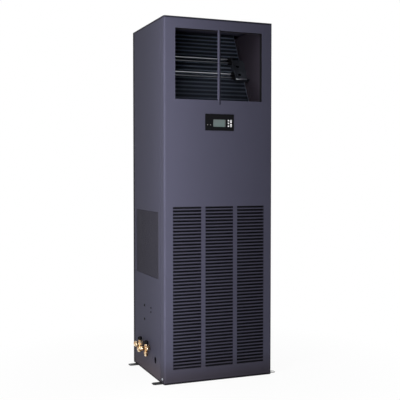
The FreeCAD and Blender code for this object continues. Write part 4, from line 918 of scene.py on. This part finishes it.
def display_unit():
    """The bezel with round corners and windows, and two domed lamps."""
    face, back = bezel_low.y, door_face
    outlines = [rounded(bezel_low, bezel_high, face, bezel_corner),
                rounded(screen_low, screen_high, face, screen_corner)]
    for node in glyphs():
        outlines.append(rounded(*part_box(node), face, window_corner, window_edge))
    for x, z in lamp_spots:
        outlines.append(ring((x, face, z), (0, 1, 0), lamp_hole, 24))
    piece = Piece().plate(outlines, (0, back - face, 0))
    low = (bezel_low.x + bezel_inset, back, bezel_low.z + bezel_inset)
    high = (bezel_high.x - bezel_inset, bezel_high.y, bezel_high.z - bezel_inset)
    piece.border(low, high, 0, bezel_wall)
    piece.done("display_frame", "door", "bezel_plastic", "display_bezel")
    lamps = Piece()
    dome = ((0.0, 0.0024), (0.0090, 0.0024), (0.0098, 0.0018), (0.0101, 0.0008))
    for x, z in lamp_spots:
        lamps.turned((x, lamp_root, z), (0, -1, 0), dome, 20)
    lamps.done("lamp_domes", "door", "lamp_plastic", "indicator_lamps")


# Fasteners

def side_screws():
    """Screws on the cabinet's sides, and one on the door's edge."""
    vent_height, rear_radius, rear_height = 0.0024, 0.0028, 0.0018
    edge_spot, edge_radius, edge_height = (left_side, -0.238, 0.028), 0.0065, 0.0030
    dark, rear, bright = Piece(), Piece(), Piece()
    for y, z, radius in ((0.062, 0.358, 0.0075), (0.062, 0.283, 0.0075),
                         (-0.050, 0.361, 0.005), (-0.050, 0.339, 0.005)):
        dark.screw((left_side, y, z), (-1, 0, 0), radius, vent_height)
    dark.done("vent_side_screws", "cabinet", "bezel_plastic")
    rear_y, rear_first, rear_pitch = 0.2505, 0.084, 0.28
    for side in (-1, 1):
        for i in range(7):
            spot = (side * -left_side, rear_y, rear_first + rear_pitch * i)
            rear.screw(spot, (side, 0, 0), rear_radius, rear_height)
    rear.done("rear_panel_screws", "cabinet", "bracket_paint")
    bright.screw(edge_spot, (-1, 0, 0), edge_radius, edge_height)
    bright.done("door_edge_screw", "door", "zinc_steel")


# Blower

def spiral(grow):
    """The blower's spiral seen from the side, from its tongue round to the outlet."""
    first, second, third = (radius + grow for radius in scroll_radii)
    tongue = scroll_tongue - grow
    start = math.acos((tongue + scroll_step) / first)
    bows = ((-1, -1, first, start, math.pi), (1, -1, second, math.pi, 1.5 * math.pi),
            (1, 1, third, 1.5 * math.pi, 2 * math.pi))
    points = [(hub.y + tongue, deck_z)]
    for side_y, side_z, radius, begin, end in bows:
        for step in range(scroll_turns + 1):
            turn = begin + (end - begin) * step / scroll_turns
            points.append((hub.y + side_y * scroll_step + radius * math.cos(turn),
                           hub.z + side_z * scroll_step + radius * math.sin(turn)))
    return points + [(points[-1][0], deck_z)]


def blower_housing():
    """The spiral sheet, and side walls with flared inlets."""
    wrap, walls = Piece(), Piece()
    outline = spiral(sheet) + spiral(0.0)[::-1]
    wrap.prism([(-scroll_half, y, z) for y, z in outline], (2 * scroll_half, 0, 0))
    wrap.done("scroll_sheet", "cabinet", "galvanised", "blower_scroll")
    lip = ((0.0, 0.0), (0.004, 0.0), (0.008, 0.0020), (0.011, 0.0060), (0.0125, 0.0110), (0.0135, 0.0140))
    profile = [(along, inlet_radius + flare) for along, flare in lip]
    profile += [(along, inlet_radius + flare - inlet_gauge) for along, flare in lip[::-1]]
    for side in (-1, 1):
        face = side * scroll_half
        hole = ring((face, hub.y, hub.z), (1, 0, 0), inlet_radius + inlet_flare, 72)
        walls.plate([[(face, y, z) for y, z in spiral(wall_margin)], hole], (side * sheet, 0, 0))
        start = (face + side * (sheet - inlet_flare), hub.y, hub.z)
        walls.turned(start, (side, 0, 0), profile, 72, True)
    walls.done("blower_walls", "cabinet", "galvanised", "blower_side_plates")


def blower_wheel():
    """Many curved blades between two rims, their middle disc, and the ribbed rotor that carries them."""
    wheel, rotor = Piece(), Piece()
    for side in (-1, 1):
        start = (side * wheel_half, hub.y, hub.z)
        wheel.washer(start, (side, 0, 0), wheel_radius + wheel_rim, wheel_eye, wheel_rim, 84)
    start = (-disc_gauge / 2, hub.y, hub.z)
    wheel.washer(start, (1, 0, 0), wheel_radius - disc_gap, disc_bore, disc_gauge, 84)
    shares = [step / blade_steps for step in range(blade_steps + 1)]
    arcs = [(wheel_eye + (wheel_radius - wheel_eye) * share, blade_sweep * share ** 2) for share in shares]
    for i in range(blade_count):
        base = 2 * math.pi * i / blade_count
        front = [(radius, base + lead) for radius, lead in arcs]
        back = [(radius, base + lead - blade_gauge) for radius, lead in arcs[::-1]]
        outline = [(-wheel_half, hub.y + r * math.cos(a), hub.z + r * math.sin(a)) for r, a in front + back]
        wheel.prism(outline, (2 * wheel_half, 0, 0))
    wheel.done("bladed_wheel", "fan", "wheel_steel", "fan_wheel")
    end = [(0.045, 0.0101), (0.045, 0.050), (0.043, 0.054), (0.036, 0.056), (0.035, 0.060), (0.033, 0.062)]
    shell = [(-along, radius) for along, radius in end]
    for i in range(rotor_ribs):
        for along, radius in ((-0.030, 0.062), (-0.028, 0.0595), (-0.0265, 0.0595)):
            shell.append((along + i * rib_pitch, radius))
    rotor.turned(hub, (1, 0, 0), shell + end[::-1], 64, True)
    rotor.done("rotor_shell", "fan", "motor_metal", "motor_rotor")


# Refrigerant circuit

def compressor_set():
    """The drawn compressor shell on its rubber mounts."""
    shell, feet, bolts = Piece(), Piece(), Piece()
    up, low = (0, 0, 1), compressor_low
    tall = compressor_high - low
    drum = [(0.0, 0.070), (0.006, 0.076), (0.014, 0.078), (0.190, 0.078), (0.192, 0.0795), (0.198, 0.0795),
            (0.200, 0.078)]
    dome = ((0.040, 0.078), (0.038, 0.0795), (0.033, 0.0795), (0.031, 0.076), (0.020, 0.069), (0.010, 0.056),
            (0.003, 0.036), (0.0, 0.012))
    drum += [(tall - below, radius) for below, radius in dome]
    shell.turned((compressor_x, compressor_y, low), up, drum, 64)
    inlet = ((0.0, 0.017), (0.010, 0.0150), (0.012, 0.0125), (0.024, 0.0125))
    shell.turned((compressor_x, compressor_y - port_seat, compressor_port), (0, -1, 0), inlet, 32)
    outlet = ((0.0, 0.014), (0.006, 0.0125), (0.008, 0.0095), (0.020, 0.0095))
    shell.turned((compressor_x, compressor_y, compressor_high - outlet_sink), up, outlet, 32)
    reach, near, gauge = 0.080, 0.064, 0.005
    outline = [(near, -reach), (reach, -near), (reach, near), (near, reach),
               (-near, reach), (-reach, near), (-reach, -near), (-near, -reach)]
    shell.prism([(compressor_x + x, compressor_y + y, low - gauge) for x, y in outline], (0, 0, gauge))
    shell.done("compressor_shell", "cabinet", "compressor_paint", "compressor")
    waist = ((0.0, 0.0155), (0.003, 0.016), (0.008, 0.0145), (0.0165, 0.011), (0.025, 0.0145), (0.030, 0.016),
             (0.033, 0.0155))
    for side_x in (-1, 1):
        for side_y in (-1, 1):
            x, y = compressor_x + side_x * mount_spread, compressor_y + side_y * mount_spread
            feet.turned((x, y, mount_z), up, waist, 32)
            bolts.washer((x, y, low), up, washer_outer, washer_bore, washer_gauge, 32)
            bolts.nut((x, y, low + washer_gauge), up, mount_flats, mount_height)
    feet.done("rubber_feet", "cabinet", "rubber", "compressor_mounts")
    bolts.done("mount_bolts", "cabinet", "zinc_steel")


def copper_lines():
    """Smooth copper pipes with the coil's header, the drier and the expansion valve."""
    suction, gas, liquid, drier, valve = (Piece() for _ in range(5))
    up = (0, 0, 1)

    header_x = coil_half + header_gap
    top = leaning @ Vector((header_x, header_depth, coil_length - tube_pitch))
    foot = leaning @ Vector((header_x, header_depth, tube_pitch / 2))
    route = [top, foot, (foot.x, foot.y, compressor_port), (compressor_x, foot.y, compressor_port)]
    route.append((compressor_x, compressor_y - port_end, compressor_port))
    suction.tube(route, suction_radius, wide_bend, 24, 10)
    for i in range(header_stubs):
        along = (i + 1) * coil_length / (header_stubs + 1)
        start = leaning @ Vector((coil_half + sheet, header_depth, along))
        suction.rod(start, (1, 0, 0), tube_radius, stub_length, 16)
    suction.done("suction_pipe", "cabinet", "copper", "suction_line")

    high, rear, riser, low = compressor_high + gas_rise, 0.205, -0.235, 0.079
    gas_y = valves[1][1]
    route = [(compressor_x, compressor_y, high - gas_stub), (compressor_x, compressor_y, high)]
    route += [(compressor_x, rear, high), (compressor_x, rear, low), (riser, rear, low), (riser, gas_y, low)]
    route += [(riser, gas_y, valve_z), (valve_tail, gas_y, valve_z)]
    gas.tube(route, gas_radius, wide_bend, 20, 10)
    gas.done("discharge_pipe", "cabinet", "copper", "discharge_line")

    liquid_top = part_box("liquid_line")[1].z
    route = [(valve_tail, riser_y, valve_z), (riser_x, riser_y, valve_z), (riser_x, riser_y, drier_low)]
    liquid.tube(route, liquid_radius, liquid_bend, 18, 8)
    liquid.rod((riser_x, riser_y, drier_high), up, liquid_radius, liquid_top - drier_high, 18)
    liquid.done("liquid_pipe", "cabinet", "copper", "liquid_line")

    end = [(0.0, 0.0075), (0.006, 0.0080), (0.010, 0.0150), (0.017, 0.0225), (0.024, 0.0255), (0.030, 0.0260)]
    other = [(drier_high - drier_low - along, radius) for along, radius in end[::-1]]
    drier.turned((riser_x, riser_y, drier_low), up, end + other, 40)
    drier.done("drier_shell", "cabinet", slot_of["filter_drier"], "filter_drier")

    inlet = leaning @ Vector((-coil_half - sheet, coil_depth / 2, 6 * tube_pitch))
    body_length = 0.032
    body = ((0.0, 0.009), (0.002, 0.012), (body_length - 0.002, 0.012), (body_length, 0.009))
    valve.turned((riser_x, riser_y, liquid_top), up, body, 32)
    head = ((0.0, 0.006), (0.0235, 0.006), (0.0240, 0.014), (0.0255, 0.0175), (0.0270, 0.018),
            (0.0285, 0.0165), (0.030, 0.010))
    valve.turned((riser_x, riser_y, liquid_top + body_length / 2), (0, 1, 0), head, 32)
    route = [(riser_x, riser_y, liquid_top + body_length), (riser_x, riser_y, inlet.z),
             (riser_x, inlet.y, inlet.z), inlet]
    valve.tube(route, liquid_radius, valve_bend, 18, 6)
    valve.done("expansion_valve_body", "cabinet", slot_of["expansion_valve"], "expansion_valve")


# Filter

def pleated_filter():
    """A filter frame, and the cloth that stands in it in fine pleats."""
    low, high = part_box("air_filter")
    edging, cloth = Piece().border(low, high, 0, filter_rim, edge=filter_round), Piece()
    edging.done("filter_frame", "door", "filter_media")
    step = (high.x - low.x - 2 * filter_rim) / folds
    depth = high.y - low.y - fold_room
    foot, tall = low.z + filter_rim, high.z - low.z - 2 * filter_rim
    crests = [(low.x + filter_rim + i * step, low.y + fold_inset + (i % 2) * depth) for i in range(folds + 1)]
    outline = [(x, y, foot) for x, y in crests] + [(x, y + cloth_gauge, foot) for x, y in crests[::-1]]
    cloth.prism(outline, (0, 0, tall))
    pleats = cloth.done("pleated_filter", "door", "filter_media", "air_filter")


# Room, light and camera

def floor_finish():
    """White paper that stays white to the camera and keeps the part's soft shadow near it."""
    finish = Finish("floor_paper", roughness=0.9, specular_ior_level=0.0)
    finish.drive(base_color=finish.blend(finish.noise(2.0), (0.90, 0.90, 0.90), (0.93, 0.93, 0.93)))
    glow = finish.add("ShaderNodeEmission", None, {"Color": white, "Strength": 1.0})
    x, y, _ = finish.axes()
    far = (x * x + y * y) / (floor_fade * floor_fade) & 1.0
    share = finish.seen() * (floor_glow + far * (1 - floor_glow))
    paper = Wire(finish, finish.shader.outputs[0])
    mixed = finish.add("ShaderNodeMixShader", None, {0: share, 1: paper, 2: glow})
    finish.feed(finish.tree.nodes["Material Output"].inputs["Surface"], mixed)
    return finish.material


def floor():
    """A wide sheet of paper under the part."""
    plane = Piece().block(floor_low, floor_high, floor_round).made("studio_floor", floor_finish())


def lamp(name, place, target, size, power):
    """A soft panel lamp that faces a point."""
    data = bpy.data.lights.new(name, "AREA")
    data.shape = "RECTANGLE"
    data.size, data.size_y = size
    data.energy = power
    light = bpy.data.objects.new(name, data)
    light.visible_camera = False
    light.location = place
    light.rotation_euler = (Vector(target) - Vector(place)).to_track_quat("-Z", "Y").to_euler()
    bpy.context.scene.collection.objects.link(light)


def room():
    """White to the camera and in reflections, and a low even light from all round."""
    world = bpy.data.worlds.new("studio")
    bpy.context.scene.world = world
    world.use_nodes = True
    nodes = Nodes(world.node_tree)
    background = world.node_tree.nodes["Background"].inputs
    background["Color"].default_value = white
    nodes.feed(background["Strength"], ambient_level + nodes.seen() * (1 - ambient_level))


def camera():
    """The camera, fitted to the cabinet's corners."""
    data = bpy.data.cameras.new("photo_camera")
    data.sensor_width = 36.0
    data.lens = camera_lens
    view = bpy.data.objects.new("photo_camera", data)
    view.location = camera_place
    view.rotation_euler = (math.pi / 2 - camera_dip, 0.0, camera_turn)
    bpy.context.scene.collection.objects.link(view)
    bpy.context.scene.camera = view


bpy.context.scene.view_settings.view_transform = "Standard"
dress_solids()
vent_mesh()
opening_bar()
foot_plates()
coil_stack()
coil_tubes()
heaters()
heater_mountings()
return_bends()
service_valves()
display_unit()
display_keys()
side_screws()
blower_housing()
blower_wheel()
compressor_set()
copper_lines()
pleated_filter()
floor()
room()
camera()
lamp("tall_panel", (-0.62, -0.78, 1.12), (-0.05, -0.265, 1.12), (0.35, 2.4), 17.6)
lamp("side_panel", (-3.2, 0.4, 0.9), (-0.3, 0.0, 0.9), (1.6, 2.4), 9.0)
lamp("rear_panel", (2.2, 3.0, 1.1), (0.1, 0.1, 0.95), (2.0, 2.4), 80.0)
lamp("overhead_panel", (0.2, 0.5, 3.4), (0.0, 0.0, 0.0), (2.0, 2.0), 30.0)
